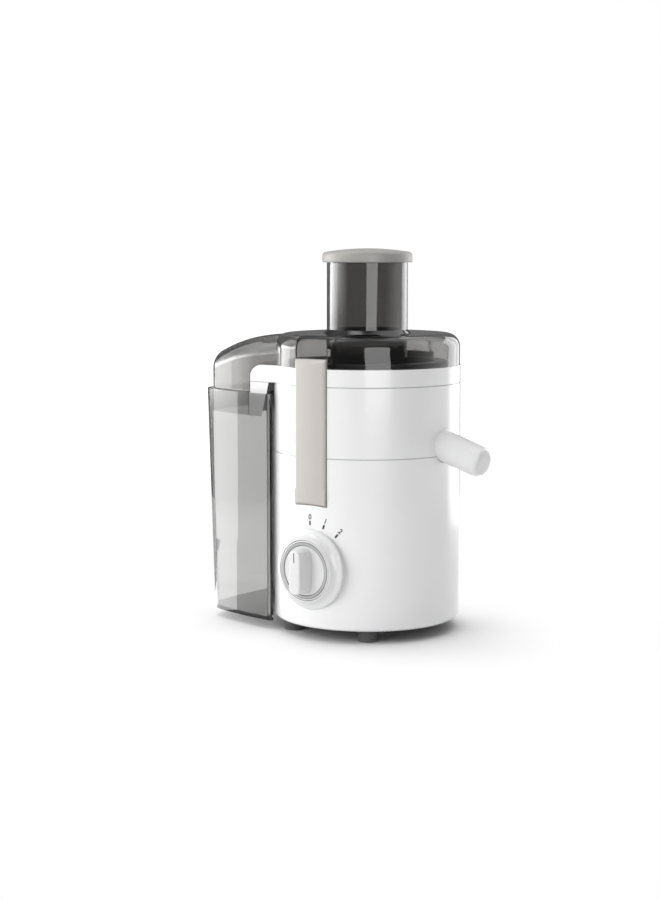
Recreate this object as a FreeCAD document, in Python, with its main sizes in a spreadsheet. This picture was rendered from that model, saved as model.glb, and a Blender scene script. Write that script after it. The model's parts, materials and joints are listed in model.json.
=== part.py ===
"""Centrifugal juicer: motor base, sieve basket, juice collector, smoke lid with feed chute, pulp bin.

The origin lies on the drive axis at the height of the table. +Z is up, the dial and the first
latch face -Y, the juice spout points along +X and the pulp bin hangs on the -X side.
Lengths are millimetres and angles are degrees.
"""
import FreeCAD, Part
import os
import re

import Sketcher

SIZES = {
    # Stack of the round body, from the table up
    "foot_height": 12.0,
    "housing_height": 166.0,
    "collector_height": 68.0,
    "guide_height": 17.0,
    "lid_height": 31.0,
    "chute_rise": 69.0,
    "body_radius": 92.5,
    "wall": 2.5,
    "fit_gap": 0.3,
    "seam_bevel": 0.5,
    "bottom_round": 4.0,
    # Deck and tower of the motor base
    "deck_drop": 5.0,
    "deck_thickness": 2.5,
    "tower_radius": 22.0,
    "tower_rise": 5.0,
    "seal_radius": 9.0,
    "seal_flange_radius": 12.0,
    "seal_flange_height": 2.0,
    "seal_lip_gap": 0.15,
    # Bottom cover, feet and cover screws
    "cover_thickness": 3.0,
    "foot_radius": 10.0,
    "foot_stem_radius": 3.5,
    "foot_x": 45.0,
    "foot_y": 60.0,
    "cover_boss_radius": 5.0,
    "cover_boss_height": 30.0,
    "screw_radius": 1.75,
    "screw_head_radius": 3.4,
    "screw_head_height": 2.5,
    "screw_grip": 12.0,
    "vent_length": 44.0,
    "vent_width": 3.0,
    "vent_pitch": 7.0,
    # Motor, hung under the deck
    "motor_radius": 45.0,
    "motor_wall": 4.0,
    "motor_screw_circle": 52.0,
    "motor_boss_drop": 14.0,
    "damper_height": 6.0,
    "bracket_flange": 6.0,
    "bracket_plate": 3.0,
    "bracket_window": 40.0,
    "upper_leg": 27.0,
    "lower_leg": 20.0,
    "stator_height": 40.0,
    "stator_yoke": 6.0,
    "pole_half_width": 11.0,
    "pole_shoe": 2.8,
    "pole_shoe_half_width": 20.0,
    "armature_radius": 24.6,
    "air_gap": 0.6,
    "armature_slot_width": 2.4,
    "armature_slot_depth": 6.0,
    "coil_side": 6.5,
    "coil_depth": 5.6,
    "winding_radius": 20.0,
    "winding_height": 7.5,
    "commutator_radius": 12.0,
    "commutator_height": 12.0,
    "brush_width": 6.0,
    "brush_height": 8.0,
    "brush_gap": 0.3,
    "holder_wall": 1.5,
    "holder_length": 30.0,
    "shaft_radius": 4.0,
    "bearing_radius": 11.0,
    "bearing_height": 7.0,
    "bearing_gap": 0.05,
    "bearing_wall": 3.0,
    "shaft_hole_radius": 6.0,
    "fan_radius": 40.0,
    "fan_height": 12.0,
    "fan_hub_radius": 9.0,
    "fan_plate": 2.0,
    "fan_blade": 1.6,
    "fan_clearance": 2.0,
    "shaft_tail": 3.0,
    # Coupling and sieve basket
    "coupling_gap": 1.5,
    "coupling_radius": 12.0,
    "coupling_height": 10.5,
    "coupling_lug_reach": 16.0,
    "coupling_lug_width": 5.0,
    "coupling_cap": 2.0,
    "hub_wall": 2.0,
    "hub_top": 2.7,
    "basket_floor_radius": 50.0,
    "basket_floor": 3.0,
    "basket_top_radius": 68.0,
    "basket_height": 59.0,
    "mesh_thickness": 0.8,
    "mesh_hole_radius": 1.2,
    "mesh_margin": 7.5,
    "grater_thickness": 0.8,
    "tooth_radius": 1.4,
    "tooth_tip_radius": 0.35,
    "tooth_height": 2.0,
    "tooth_first_ring": 15.0,
    "tooth_ring_pitch": 7.5,
    "rim_inner_radius": 66.0,
    "rim_radius": 74.0,
    "rim_height": 8.0,
    "rim_flange_radius": 79.0,
    "rim_flange_height": 3.0,
    # Juice collector and spout
    "collector_floor_rise": 3.0,
    "chimney_rise": 9.0,
    "spout_rise": 9.5,
    "spout_slope": 17.5,
    "spout_root_radius": 15.2,
    "spout_tip_radius": 14.4,
    "spout_length": 47.5,
    "spout_wall": 2.0,
    "spout_end_round": 4.0,
    "spout_spigot_radius": 12.5,
    "spout_spigot_length": 7.0,
    "sump_length": 46.0,
    "sump_gap": 0.5,
    "outlet_radius": 6.0,
    "outlet_reach": 33.0,
    "outlet_length": 9.0,
    # Latches
    "latch_width": 36.5,
    "latch_proud": 2.5,
    "latch_side_gap": 0.8,
    "latch_edge_round": 3.0,
    "latch_top_bevel": 4.0,
    "latch_pocket_depth": 4.0,
    "latch_rib": 3.0,
    "channel_depth": 6.5,
    "pin_drop": 37.8,
    "pin_depth": 6.0,
    "pin_radius": 1.25,
    "pin_gap": 0.05,
    "pin_end": 3.5,
    "barrel_radius": 9.2,
    "hook_height": 4.7,
    "ledge_height": 4.0,
    "pocket_depth": 10.3,
    "pocket_top_wall": 3.0,
    # Pulp guide and its lip
    "deck_opening_radius": 76.0,
    "lip_reach": 23.5,
    "lip_round": 12.0,
    "lip_drop": 51.0,
    "lip_side_gap": 3.3,
    "lip_seat_gap": 0.8,
    "lip_mouth": 11.5,
    "lid_lip_gap": 0.4,
    # Lid, chute and hood
    "lid_step": 0.7,
    "lid_round": 13.0,
    "chute_radius": 40.0,
    "chute_wall": 2.5,
    "chute_foot": 3.5,
    "chute_clearance": 9.0,
    "hood_inset": 6.0,
    "hood_corner": 20.5,
    "hood_top_round": 20.0,
    "hood_crown_radius": 297.0,
    "hood_crown_inset": 47.5,
    "hood_start_x": 20.0,
    # Pusher
    "pusher_gap": 0.6,
    "pusher_wall": 2.7,
    "pusher_stop_gap": 2.0,
    "cap_radius": 44.4,
    "cap_edge_height": 9.7,
    "cap_dome": 4.0,
    "cap_edge_round": 3.0,
    "cap_plug_depth": 4.0,
    # Pulp bin
    "bin_bottom": 9.0,
    "bin_rim_drop": 11.0,
    "bin_floor": 3.5,
    "bin_side_radius": 300.0,
    "bin_side_inset": 42.5,
    "bin_width_inset": 13.8,
    "bin_end_radius": 400.0,
    "bin_depth": 68.5,
    "bin_flare": 11.0,
    "bin_corner": 27.0,
    "bin_tip_round": 3.0,
    "bin_room_tip_round": 1.5,
    "bin_body_gap": 3.0,
    "bin_hook_half_width": 12.0,
    "bin_hook_gap": 0.7,
    "bin_hook_height": 2.5,
    "bin_hook_drop": 1.3,
    "bin_hook_rest": 0.2,
    "bin_ledge_height": 7.0,
    "bin_pad_height": 10.0,
    "bin_pad_gap": 0.3,
    # Dial
    "dial_height": 70.0,
    "bezel_radius": 40.0,
    "bezel_rim_proud": 1.0,
    "bezel_top_radius": 30.5,
    "bezel_proud": 9.2,
    "bezel_well_depth": 5.0,
    "bezel_lip": 1.0,
    "bezel_hole_radius": 9.0,
    "knob_radius": 29.1,
    "knob_height": 4.5,
    "knob_gap": 0.4,
    "knob_edge_round": 1.0,
    "knob_ring_radius": 27.7,
    "knob_ring_width": 3.6,
    "knob_ring_depth": 1.2,
    "knob_ring_proud": 0.6,
    "grip_width": 13.2,
    "grip_length": 42.0,
    "grip_height": 16.2,
    "grip_round": 2.0,
    "knob_hub_radius": 7.0,
    "knob_hub_length": 8.0,
    "spindle_radius": 3.0,
    "spindle_depth": 12.0,
    "dial_hole_radius": 7.5,
    "switch_width": 30.0,
    "switch_height": 26.0,
    "switch_depth": 20.0,
    "switch_post_depth": 5.0,
    "switch_post_width": 6.0,
    # Safety switch behind the front latch
    "plunger_rise": 20.0,
    "plunger_radius": 2.5,
    "plunger_gap": 0.3,
    "plunger_length": 17.0,
    "plunger_boss_radius": 5.0,
    "plunger_boss_length": 9.0,
    "safety_width": 20.0,
    "safety_depth": 12.0,
    "safety_height": 9.0,
    # Cord gland at the back
    "gland_height": 32.0,
    "gland_radius": 6.0,
    "gland_bore": 3.6,
    "gland_flange_radius": 9.0,
    "gland_flange": 2.0,
}

TINY = 1e-4
SLOTS = 12
BLADES = 9
LUGS = 3
MESH_ROWS = 4
MESH_COLUMNS = 24
TEETH = 8
TOOTH_RINGS = 4
VENTS = 5

X_AXIS = FreeCAD.Vector(1, 0, 0)
Y_AXIS = FreeCAD.Vector(0, 1, 0)
UP = FreeCAD.Vector(0, 0, 1)
FRONT = FreeCAD.Vector(0, -1, 0)
ORIGIN = ("0", "0", "0")
QUARTERS = (("a", "1", "1"), ("b", "-1", "1"), ("c", "-1", "-1"), ("d", "1", "-1"))
SIDES = (("front", "-1"), ("rear", "1"))

# Heights and radii that several pieces share
SEAT = "(foot_height + housing_height)"
GUIDE_SEAT = f"({SEAT} + collector_height)"
DECK_TOP = f"({GUIDE_SEAT} + guide_height)"
LID_TOP = f"({DECK_TOP} + lid_height)"
CHUTE_TOP = f"({LID_TOP} + chute_rise)"
INNER = "(body_radius - wall)"
DECK = f"({SEAT} - deck_drop)"
DECK_UNDER = f"({DECK} - deck_thickness)"
TOWER_TOP = f"({SEAT} + tower_rise)"
PIN_Z = f"({SEAT} - pin_drop)"
LEDGE_TOP = f"({DECK_TOP} + ledge_height)"
LATCH_TOP = f"({LEDGE_TOP} + fit_gap + hook_height)"
LATCH_RADIUS = "(body_radius + latch_proud)"
CHANNEL_FLOOR = "(body_radius - channel_depth)"
PIN_OFFSET = "(body_radius - pin_depth)"
POCKET_FLOOR = "(body_radius - pocket_depth)"
LID_RADIUS = "(body_radius - lid_step)"
HOOD_CROWN_X = "(body_radius - hood_crown_inset)"
BIN_SIDE_X = "(body_radius - bin_side_inset)"
BIN_HALF = "(body_radius - bin_width_inset)"
BIN_END = "(body_radius + bin_depth)"
BIN_WALL_RADIUS = "(body_radius + bin_body_gap)"
LIP_RADIUS = "(body_radius + lip_reach)"
LIP_FOOT = f"({LIP_RADIUS} - lip_mouth)"
LIP_SEAT = f"({BIN_WALL_RADIUS} + wall + lip_seat_gap)"
LIP_BOTTOM = f"({DECK_TOP} - lip_drop)"
LIP_HALF = f"({BIN_HALF} - wall - lip_side_gap)"
BRACKET_TOP = f"({DECK_UNDER} - motor_boss_drop - damper_height)"
BRACKET_UNDER = f"({BRACKET_TOP} - bracket_plate)"
STATOR_TOP = f"({BRACKET_UNDER} - upper_leg)"
STATOR_BOTTOM = f"({STATOR_TOP} - stator_height)"
LOWER_TOP = f"({STATOR_BOTTOM} - lower_leg)"
LOWER_UNDER = f"({LOWER_TOP} - bracket_plate)"
FAN_TOP = f"({LOWER_UNDER} - bearing_height - fan_clearance)"
SHAFT_BOTTOM = f"({FAN_TOP} - fan_height - shaft_tail)"
BRUSH_Z = f"({LOWER_TOP} + commutator_height / 2 + brush_gap)"
COUPLING_BOTTOM = f"({TOWER_TOP} + seal_flange_height + coupling_gap)"
COUPLING_TOP = f"({COUPLING_BOTTOM} + coupling_height)"
BASKET_FLOOR_TOP = f"({COUPLING_TOP} + fit_gap + hub_top)"
BASKET_BOTTOM = f"({BASKET_FLOOR_TOP} - basket_floor)"
BASKET_TOP = f"({BASKET_BOTTOM} + basket_height)"
MESH_GROWTH = "((basket_top_radius - basket_floor_radius) / basket_height)"
TOOTH_TOP = f"({BASKET_FLOOR_TOP} + grater_thickness + tooth_height)"
CHUTE_BOTTOM = f"({TOOTH_TOP} + chute_clearance)"
FLOOR_UNDER = f"({SEAT} + collector_floor_rise)"
FLOOR_TOP = f"({FLOOR_UNDER} + wall)"
CHIMNEY_RADIUS = "(tower_radius + fit_gap + wall)"
SPOUT_Z = f"({SEAT} + spout_rise)"
BIN_RIM = f"({GUIDE_SEAT} - bin_rim_drop)"
BIN_SIDE_Y = f"(bin_side_radius - {BIN_HALF})"
BIN_END_CENTRE = f"(bin_end_radius - {BIN_END})"
HOOK_UNDER = f"({BIN_RIM} - bin_hook_drop - bin_hook_height)"
BEZEL_FACE = "(body_radius + bezel_proud)"
KNOB_BACK = f"({BEZEL_FACE} - bezel_well_depth + knob_gap)"
KNOB_FACE = f"({KNOB_BACK} + knob_height)"
SWITCH_FACE = f"({INNER} - switch_post_depth)"
PLUNGER_Z = f"({PIN_Z} + plunger_rise)"
PLUNGER_BACK = f"({CHANNEL_FLOOR} - plunger_length)"
SHOE_RADIUS = "(armature_radius + air_gap + pole_shoe)"
YOKE_INNER = "(motor_radius - stator_yoke)"
CAP_UNDER = f"({CHUTE_TOP} + fit_gap)"
PUSHER_RADIUS = "(chute_radius - chute_wall - pusher_gap)"
PUSHER_BOTTOM = f"({CHUTE_BOTTOM} + pusher_stop_gap)"
RIM_BOTTOM = BASKET_TOP
RIM_FLANGE = f"({RIM_BOTTOM} + rim_height)"

doc = FreeCAD.newDocument("juicer")
sheet = doc.addObject("Spreadsheet::Sheet", "dims")
ALIAS = re.compile(r"\b(" + "|".join(SIZES) + r")\b")
nodes = []


def fill_sheet():
    """Write every driving dimension into the spreadsheet."""
    for row, (alias, number) in enumerate(SIZES.items(), start=1):
        sheet.set(f"A{row}", alias)
        sheet.set(f"B{row}", str(number))
        sheet.setAlias(f"B{row}", alias)
    doc.recompute()


def bound(expression):
    """Point the size names of an expression at the spreadsheet."""
    return ALIAS.sub(r"dims.\1", expression)


def bind(item, name, expression):
    """Tie one property to an expression of sizes."""
    item.setExpression(name, bound(expression))


def measure(expression):
    """The present value of an expression of sizes."""
    return float(sheet.evalExpression(bound(expression)))


def place(item, at, axis=UP):
    """Turn an item's own Z along an axis and tie its position to sizes."""
    item.Placement = FreeCAD.Placement(FreeCAD.Vector(), FreeCAD.Rotation(UP, axis))
    for name, expression in zip("xyz", at):
        bind(item, f"Placement.Base.{name}", expression)


def cylinder(name, radius, height, at=ORIGIN, axis=UP):
    item = doc.addObject("Part::Cylinder", name)
    bind(item, "Radius", radius)
    bind(item, "Height", height)
    place(item, at, axis)
    return item


def pillar(name, radius, low, high, x="0", y="0"):
    """An upright cylinder between two heights."""
    return cylinder(name, radius, f"{high} - {low}", (x, y, low))


def cone(name, first, last, height, at=ORIGIN, axis=UP):
    item = doc.addObject("Part::Cone", name)
    bind(item, "Radius1", first)
    bind(item, "Radius2", last)
    bind(item, "Height", height)
    place(item, at, axis)
    return item


def block(name, x, y, z):
    """A box between two bounds on each axis."""
    item = doc.addObject("Part::Box", name)
    for side, (low, high) in zip(("Length", "Width", "Height"), (x, y, z)):
        bind(item, side, f"({high}) - ({low})")
    place(item, (x[0], y[0], z[0]))
    return item


def union(name, *items):
    item = doc.addObject("Part::MultiFuse", name)
    item.Shapes = list(items)
    return item


def overlap(name, *items):
    item = doc.addObject("Part::MultiCommon", name)
    item.Shapes = list(items)
    return item


def minus(name, base, *tools):
    item = doc.addObject("Part::Cut", name)
    item.Base = base
    item.Tool = tools[0] if len(tools) == 1 else union(f"{name}_tools", *tools)
    return item


def group(name, *items):
    item = doc.addObject("Part::Compound", name)
    item.Links = list(items)
    return item


def mirrored(name, source):
    """The copy of a piece on the other side of the XZ plane."""
    item = doc.addObject("Part::Mirroring", name)
    item.Source = source
    item.Normal = Y_AXIS
    return item


def picked_edges(shape, pick):
    return [index for index, edge in enumerate(shape.Edges, start=1) if pick(edge)]


def rounded(name, base, radius, pick):
    """Round the picked edges of a solid."""
    doc.recompute()
    size = measure(radius)
    item = doc.addObject("Part::Fillet", name)
    item.Base = base
    item.Edges = [(index, size, size) for index in picked_edges(base.Shape, pick)]
    return item


def circle_at(radius, height):
    """Pick the full circles of one radius at one height."""
    def pick(edge):
        if edge.Degenerated or not isinstance(edge.Curve, Part.Circle):
            return False
        curve = edge.Curve
        return abs(curve.Radius - measure(radius)) < TINY and abs(curve.Center.z - measure(height)) < TINY
    return pick


def profile_sketch(body, name, plane, points):
    """A closed outline whose corners are all tied to sizes."""
    sketch = body.newObject("Sketcher::SketchObject", name)
    support = next(item for item in body.Origin.OriginFeatures if item.Role == plane)
    sketch.AttachmentSupport = [(support, "")]
    sketch.MapMode = "FlatFace"
    corners = [FreeCAD.Vector(measure(first), measure(second), 0) for first, second in points]
    count = len(points)
    for index, corner in enumerate(corners):
        sketch.addGeometry(Part.LineSegment(corner, corners[(index + 1) % count]), False)
    for index in range(count):
        sketch.addConstraint(Sketcher.Constraint("Coincident", index, 2, (index + 1) % count, 1))
    for index, point in enumerate(points):
        for kind, axis, expression in zip(("DistanceX", "DistanceY"), (-2, -1), point):
            if expression == "0":
                sketch.addConstraint(Sketcher.Constraint("PointOnObject", index, 1, axis))
                continue
            number = measure(expression)
            spot = sketch.addConstraint(Sketcher.Constraint(kind, -1, 1, index, 1, number))
            bind(sketch, f"Constraints[{spot}]", expression)
    return sketch


def revolved(name, points, at=ORIGIN, axis=UP):
    """A round body from its half outline of (radius, height) corners."""
    body = doc.addObject("PartDesign::Body", name)
    sketch = profile_sketch(body, f"{name}_outline", "XZ_Plane", points)
    turn = body.newObject("PartDesign::Revolution", f"{name}_turn")
    turn.Profile = sketch
    turn.ReferenceAxis = (sketch, ["V_Axis"])
    turn.Angle = 360
    place(body, at, axis)
    doc.recompute()
    return body


def soften(body, radius, pick):
    """Round the picked edges of a round body."""
    doc.recompute()
    base = body.Tip
    soft = body.newObject("PartDesign::Fillet", f"{base.Name}_soft")
    soft.Base = (base, [f"Edge{index}" for index in picked_edges(base.Shape, pick)])
    bind(soft, "Radius", radius)
    doc.recompute()
    return body


def padded(name, plane, points, half):
    """A plate from its outline, padded to both sides of its plane."""
    body = doc.addObject("PartDesign::Body", name)
    sketch = profile_sketch(body, f"{name}_outline", plane, points)
    pad = body.newObject("PartDesign::Pad", f"{name}_pad")
    pad.Profile = sketch
    pad.Midplane = True
    bind(pad, "Length", f"2 * {half}")
    doc.recompute()
    return body


def keep(item, label):
    """Name a finished sub-part."""
    item.Label = label
    nodes.append(item)


def around(count):
    """Evenly spaced angles about the drive axis."""
    return [360.0 * index / count for index in range(count)]


def spun(name, base, angle):
    """A copy of an item turned about the drive axis."""
    item = doc.addObject("Part::Compound", name)
    item.Links = [base]
    item.Placement = FreeCAD.Placement(FreeCAD.Vector(), FreeCAD.Rotation(UP, angle))
    return item


def channel(name, grow, low, high, pivot=False):
    """The two upright slots that hold the latches, grown by a wall."""
    half = f"(latch_width / 2 + latch_side_gap + {grow})"
    floor = f"({CHANNEL_FLOOR} - {grow})"
    reach = f"({LATCH_RADIUS} + latch_width)"
    across = (f"-{half}", half)
    items = [
        block(f"{name}_front", across, (f"-{reach}", f"-{floor}"), (low, high)),
        block(f"{name}_rear", across, (floor, reach), (low, high)),
    ]
    if pivot:
        radius = f"barrel_radius + latch_side_gap + {grow}"
        for side, sign in SIDES:
            spot = (f"-{half}", f"{sign} * {PIN_OFFSET}", PIN_Z)
            items.append(cylinder(f"{name}_{side}_pivot", radius, f"2 * {half}", spot, X_AXIS))
    return union(name, *items)


def spout_spot(distance):
    """A point on the sloping spout axis, measured outward from the body's wall."""
    return (f"body_radius + ({distance}) * cos(spout_slope)", "0",
            f"{SPOUT_Z} - ({distance}) * sin(spout_slope)")


def spout_axis():
    tilt = FreeCAD.Rotation(Y_AXIS, measure("spout_slope"))
    return tilt.multVec(X_AXIS)


def sump(name, radius):
    """The trough under the collector that leads into the spout."""
    length = "(sump_length + spout_root_radius)"
    return cylinder(name, radius, length, spout_spot("-sump_length"), spout_axis())


def cover_spot(x_sign, y_sign):
    """The place of one cover screw, under its boss on the housing wall."""
    reach = f"({INNER} - cover_boss_radius + wall / 2) * cos(45)"
    return f"{x_sign} * {reach}", f"{y_sign} * {reach}"


def hang_spots():
    """The four places where the motor hangs under the deck."""
    reach = "motor_screw_circle * cos(45)"
    return [(key, (f"{x_sign} * {reach}", f"{y_sign} * {reach}")) for key, x_sign, y_sign in QUARTERS]


def housing_shell():
    """The outer wall with its deck and the walls of the two latch channels."""
    outer = revolved("housing_outer", [
        ("0", "foot_height"), ("body_radius", "foot_height"), ("body_radius", f"{SEAT} - seam_bevel"),
        ("body_radius - seam_bevel", SEAT), ("0", SEAT)])
    soften(outer, "bottom_round", circle_at("body_radius", "foot_height"))
    slots = channel("housing_slots", "0", PIN_Z, f"{SEAT} + wall", pivot=True)
    pads = channel("housing_slot_walls", "wall", PIN_Z, f"{SEAT} + wall", pivot=True)
    rooms = union(
        "housing_rooms",
        pillar("motor_room", INNER, "foot_height", DECK_UNDER),
        pillar("deck_room", INNER, DECK, f"{SEAT} + wall"))
    slotted = minus("housing_slotted", outer, slots)
    return minus("housing_shell", slotted, minus("housing_space", rooms, pads))


def screw_bosses():
    """The bosses for the cover and the motor, and the pilot holes in them."""
    bosses = []
    pilots = []
    low = "(foot_height + cover_thickness)"
    for key, x_sign, y_sign in QUARTERS:
        spot = cover_spot(x_sign, y_sign)
        bosses.append(pillar(f"cover_boss_{key}", "cover_boss_radius", low,
                             f"({low} + cover_boss_height)", *spot))
        pilots.append(pillar(f"cover_pilot_{key}", "screw_radius", low, f"({low} + screw_grip)", *spot))
    low = f"({DECK_UNDER} - motor_boss_drop)"
    for key, spot in hang_spots():
        bosses.append(pillar(f"motor_boss_{key}", "cover_boss_radius", low, DECK, *spot))
        pilots.append(pillar(f"motor_pilot_{key}", "screw_radius", low, f"({low} + screw_grip)", *spot))
    return bosses, pilots


def switch_mounts():
    """The posts of the speed switch, and the boss and shelf of the safety switch."""
    half = "switch_post_width / 2"
    mounts = []
    for key, sign in (("left", "-1"), ("right", "1")):
        middle = f"{sign} * (switch_width - switch_post_width) / 2"
        mounts.append(block(
            f"switch_post_{key}", (f"{middle} - {half}", f"{middle} + {half}"),
            (f"-{INNER}", f"-{SWITCH_FACE}"),
            ("dial_height - switch_height / 2", "dial_height + switch_height / 2")))
    mounts.append(cylinder("plunger_boss", "plunger_boss_radius", "plunger_boss_length",
                           ("0", f"-{CHANNEL_FLOOR} + wall / 2", PLUNGER_Z), Y_AXIS))
    mounts.append(block("safety_shelf", ("-safety_width / 2", "safety_width / 2"),
                        (f"-{PLUNGER_BACK} + fit_gap", f"-{PLUNGER_BACK} + fit_gap + safety_depth"),
                        (f"{PLUNGER_Z} + safety_height / 2", DECK)))
    return mounts


def wall_holes():
    """The holes through the housing wall for the plunger, the dial, the cord and the pins."""
    through = "4 * wall"
    holes = [
        cylinder("plunger_hole", "plunger_radius + plunger_gap", "2 * plunger_boss_length + wall",
                 ("0", f"-{CHANNEL_FLOOR} - wall", PLUNGER_Z), Y_AXIS),
        cylinder("dial_hole", "dial_hole_radius", through,
                 ("0", "-body_radius - wall", "dial_height"), Y_AXIS),
        cylinder("gland_hole", "gland_radius", through,
                 ("0", f"{INNER} - wall", "gland_height"), Y_AXIS),
    ]
    half = "(latch_width / 2 + latch_side_gap + pin_end)"
    for side, sign in SIDES:
        holes.append(cylinder(f"pin_hole_{side}", "pin_radius", f"2 * {half}",
                              (f"-{half}", f"{sign} * {PIN_OFFSET}", PIN_Z), X_AXIS))
    return holes


def base_housing():
    bosses, pilots = screw_bosses()
    tower = pillar("tower", "tower_radius", DECK_UNDER, TOWER_TOP)
    solid = union("housing_solid", housing_shell(), tower, *bosses, *switch_mounts())
    tower_bore = pillar("tower_bore", "tower_radius - wall", f"{DECK_UNDER} - wall", f"{TOWER_TOP} - wall")
    seal_hole = pillar("seal_hole", "seal_radius", DECK_UNDER, f"{TOWER_TOP} + wall")
    notch = sump("sump_notch", "spout_root_radius + sump_gap")
    keep(minus("housing", solid, tower_bore, seal_hole, notch, *pilots, *wall_holes()), "base_housing")


def bottom_cover():
    top = "(foot_height + cover_thickness)"
    disc = pillar("cover_disc", f"({INNER} - fit_gap)", "foot_height", top)
    cuts = []
    for key, x_sign, y_sign in QUARTERS:
        cuts.append(pillar(f"stem_hole_{key}", "foot_stem_radius", "foot_height", top,
                           f"{x_sign} * foot_x", f"{y_sign} * foot_y"))
        cuts.append(pillar(f"cover_hole_{key}", "screw_radius + fit_gap", "foot_height", top,
                           *cover_spot(x_sign, y_sign)))
    for index in range(VENTS):
        middle = f"({index - (VENTS - 1) / 2} * vent_pitch)"
        across = (f"{middle} - vent_width / 2", f"{middle} + vent_width / 2")
        cuts.append(block(f"vent_{index}", ("-vent_length / 2", "vent_length / 2"), across,
                          ("foot_height", top)))
    keep(minus("cover", disc, *cuts), "bottom_cover")


def rubber_feet():
    feet = []
    for key, x_sign, y_sign in QUARTERS:
        spot = (f"{x_sign} * foot_x", f"{y_sign} * foot_y")
        pad = pillar(f"foot_pad_{key}", "foot_radius", "0", "foot_height", *spot)
        stem = pillar(f"foot_stem_{key}", "foot_stem_radius", "foot_height",
                      "(foot_height + cover_thickness)", *spot)
        feet.append(union(f"foot_{key}", pad, stem))
    keep(group("feet", *feet), "rubber_feet")


def screw_set(label, head_under, grip_end, spots):
    """Equal screws, each with its head below and its shank pointing up."""
    screws = []
    for key, spot in spots:
        head = pillar(f"{label}_head_{key}", "screw_head_radius", f"({head_under} - screw_head_height)",
                      head_under, *spot)
        shank = pillar(f"{label}_shank_{key}", "screw_radius", head_under, grip_end, *spot)
        screws.append(union(f"{label}_{key}", head, shank))
    keep(group(f"{label}_set", *screws), label)


def cover_screws():
    spots = [(key, cover_spot(x_sign, y_sign)) for key, x_sign, y_sign in QUARTERS]
    screw_set("cover_screws", "foot_height", "(foot_height + cover_thickness + screw_grip)", spots)


def motor_mounting():
    dampers = []
    top = f"({DECK_UNDER} - motor_boss_drop)"
    for key, spot in hang_spots():
        ring = pillar(f"damper_ring_{key}", "cover_boss_radius", BRACKET_TOP, top, *spot)
        hole = pillar(f"damper_hole_{key}", "screw_radius", BRACKET_TOP, top, *spot)
        dampers.append(minus(f"damper_{key}", ring, hole))
    keep(group("dampers", *dampers), "motor_dampers")
    screw_set("motor_screws", BRACKET_UNDER, f"({top} + screw_grip)", hang_spots())


def upper_bracket():
    plate = pillar("upper_plate", "(motor_screw_circle + bracket_flange)", BRACKET_UNDER, BRACKET_TOP)
    low = f"({BRACKET_UNDER} - bearing_height)"
    boss = pillar("upper_boss", "(bearing_radius + bearing_wall)", low, BRACKET_UNDER)
    skirt = minus(
        "upper_legs", pillar("upper_skirt", "motor_radius", STATOR_TOP, BRACKET_UNDER),
        pillar("upper_skirt_room", "(motor_radius - motor_wall)", STATOR_TOP, BRACKET_UNDER),
        *windows("upper", STATOR_TOP, BRACKET_UNDER))
    cuts = [
        pillar("upper_bearing_seat", "bearing_radius", low, BRACKET_UNDER),
        pillar("upper_shaft_hole", "shaft_hole_radius", BRACKET_UNDER, BRACKET_TOP),
    ]
    for key, spot in hang_spots():
        cuts.append(pillar(f"bracket_hole_{key}", "screw_radius", BRACKET_UNDER, BRACKET_TOP, *spot))
    keep(minus("upper_frame", union("upper_solid", plate, boss, skirt), *cuts), "upper_bracket")


def windows(name, low, high):
    """Two crossed boxes that turn a round skirt into four legs."""
    half = "bracket_window / 2"
    return [
        block(f"{name}_window_x", ("-motor_radius", "motor_radius"), (f"-{half}", half), (low, high)),
        block(f"{name}_window_y", (f"-{half}", half), ("-motor_radius", "motor_radius"), (low, high)),
    ]


def lower_bracket():
    plate = pillar("lower_plate", "motor_radius", LOWER_UNDER, LOWER_TOP)
    low = f"({LOWER_UNDER} - bearing_height)"
    boss = pillar("lower_boss", "(bearing_radius + bearing_wall)", low, LOWER_UNDER)
    legs = minus(
        "lower_legs", pillar("lower_skirt", "motor_radius", LOWER_TOP, STATOR_BOTTOM),
        pillar("lower_skirt_room", "(motor_radius - motor_wall)", LOWER_TOP, STATOR_BOTTOM),
        *windows("lower", LOWER_TOP, STATOR_BOTTOM))
    keep(minus(
        "lower_frame", union("lower_solid", plate, boss, legs),
        pillar("lower_bearing_seat", "bearing_radius", low, LOWER_UNDER),
        pillar("lower_shaft_hole", "shaft_hole_radius", LOWER_UNDER, LOWER_TOP)), "lower_bracket")


def bearings():
    for label, top in (("upper_bearing", BRACKET_UNDER), ("lower_bearing", LOWER_UNDER)):
        low = f"({top} - bearing_height)"
        race = pillar(f"{label}_race", "bearing_radius", low, top)
        bore = pillar(f"{label}_bore", "(shaft_radius + bearing_gap)", low, top)
        keep(minus(f"{label}_ring", race, bore), label)


def stator():
    bore = "(armature_radius + air_gap)"
    yoke = minus("yoke", pillar("yoke_outer", "motor_radius", STATOR_BOTTOM, STATOR_TOP),
                 pillar("yoke_inner", YOKE_INNER, STATOR_BOTTOM, STATOR_TOP))
    neck = block("pole_necks", ("-motor_radius + stator_yoke / 2", "motor_radius - stator_yoke / 2"),
                 ("-pole_half_width", "pole_half_width"), (STATOR_BOTTOM, STATOR_TOP))
    shoe = overlap("pole_shoes", pillar("shoe_round", SHOE_RADIUS, STATOR_BOTTOM, STATOR_TOP),
                   block("shoe_width", ("-motor_radius", "motor_radius"),
                         ("-pole_shoe_half_width", "pole_shoe_half_width"), (STATOR_BOTTOM, STATOR_TOP)))
    keep(minus("stator_stack", union("stator_solid", yoke, neck, shoe),
               pillar("stator_bore", bore, STATOR_BOTTOM, STATOR_TOP)), "motor_stator")


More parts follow.
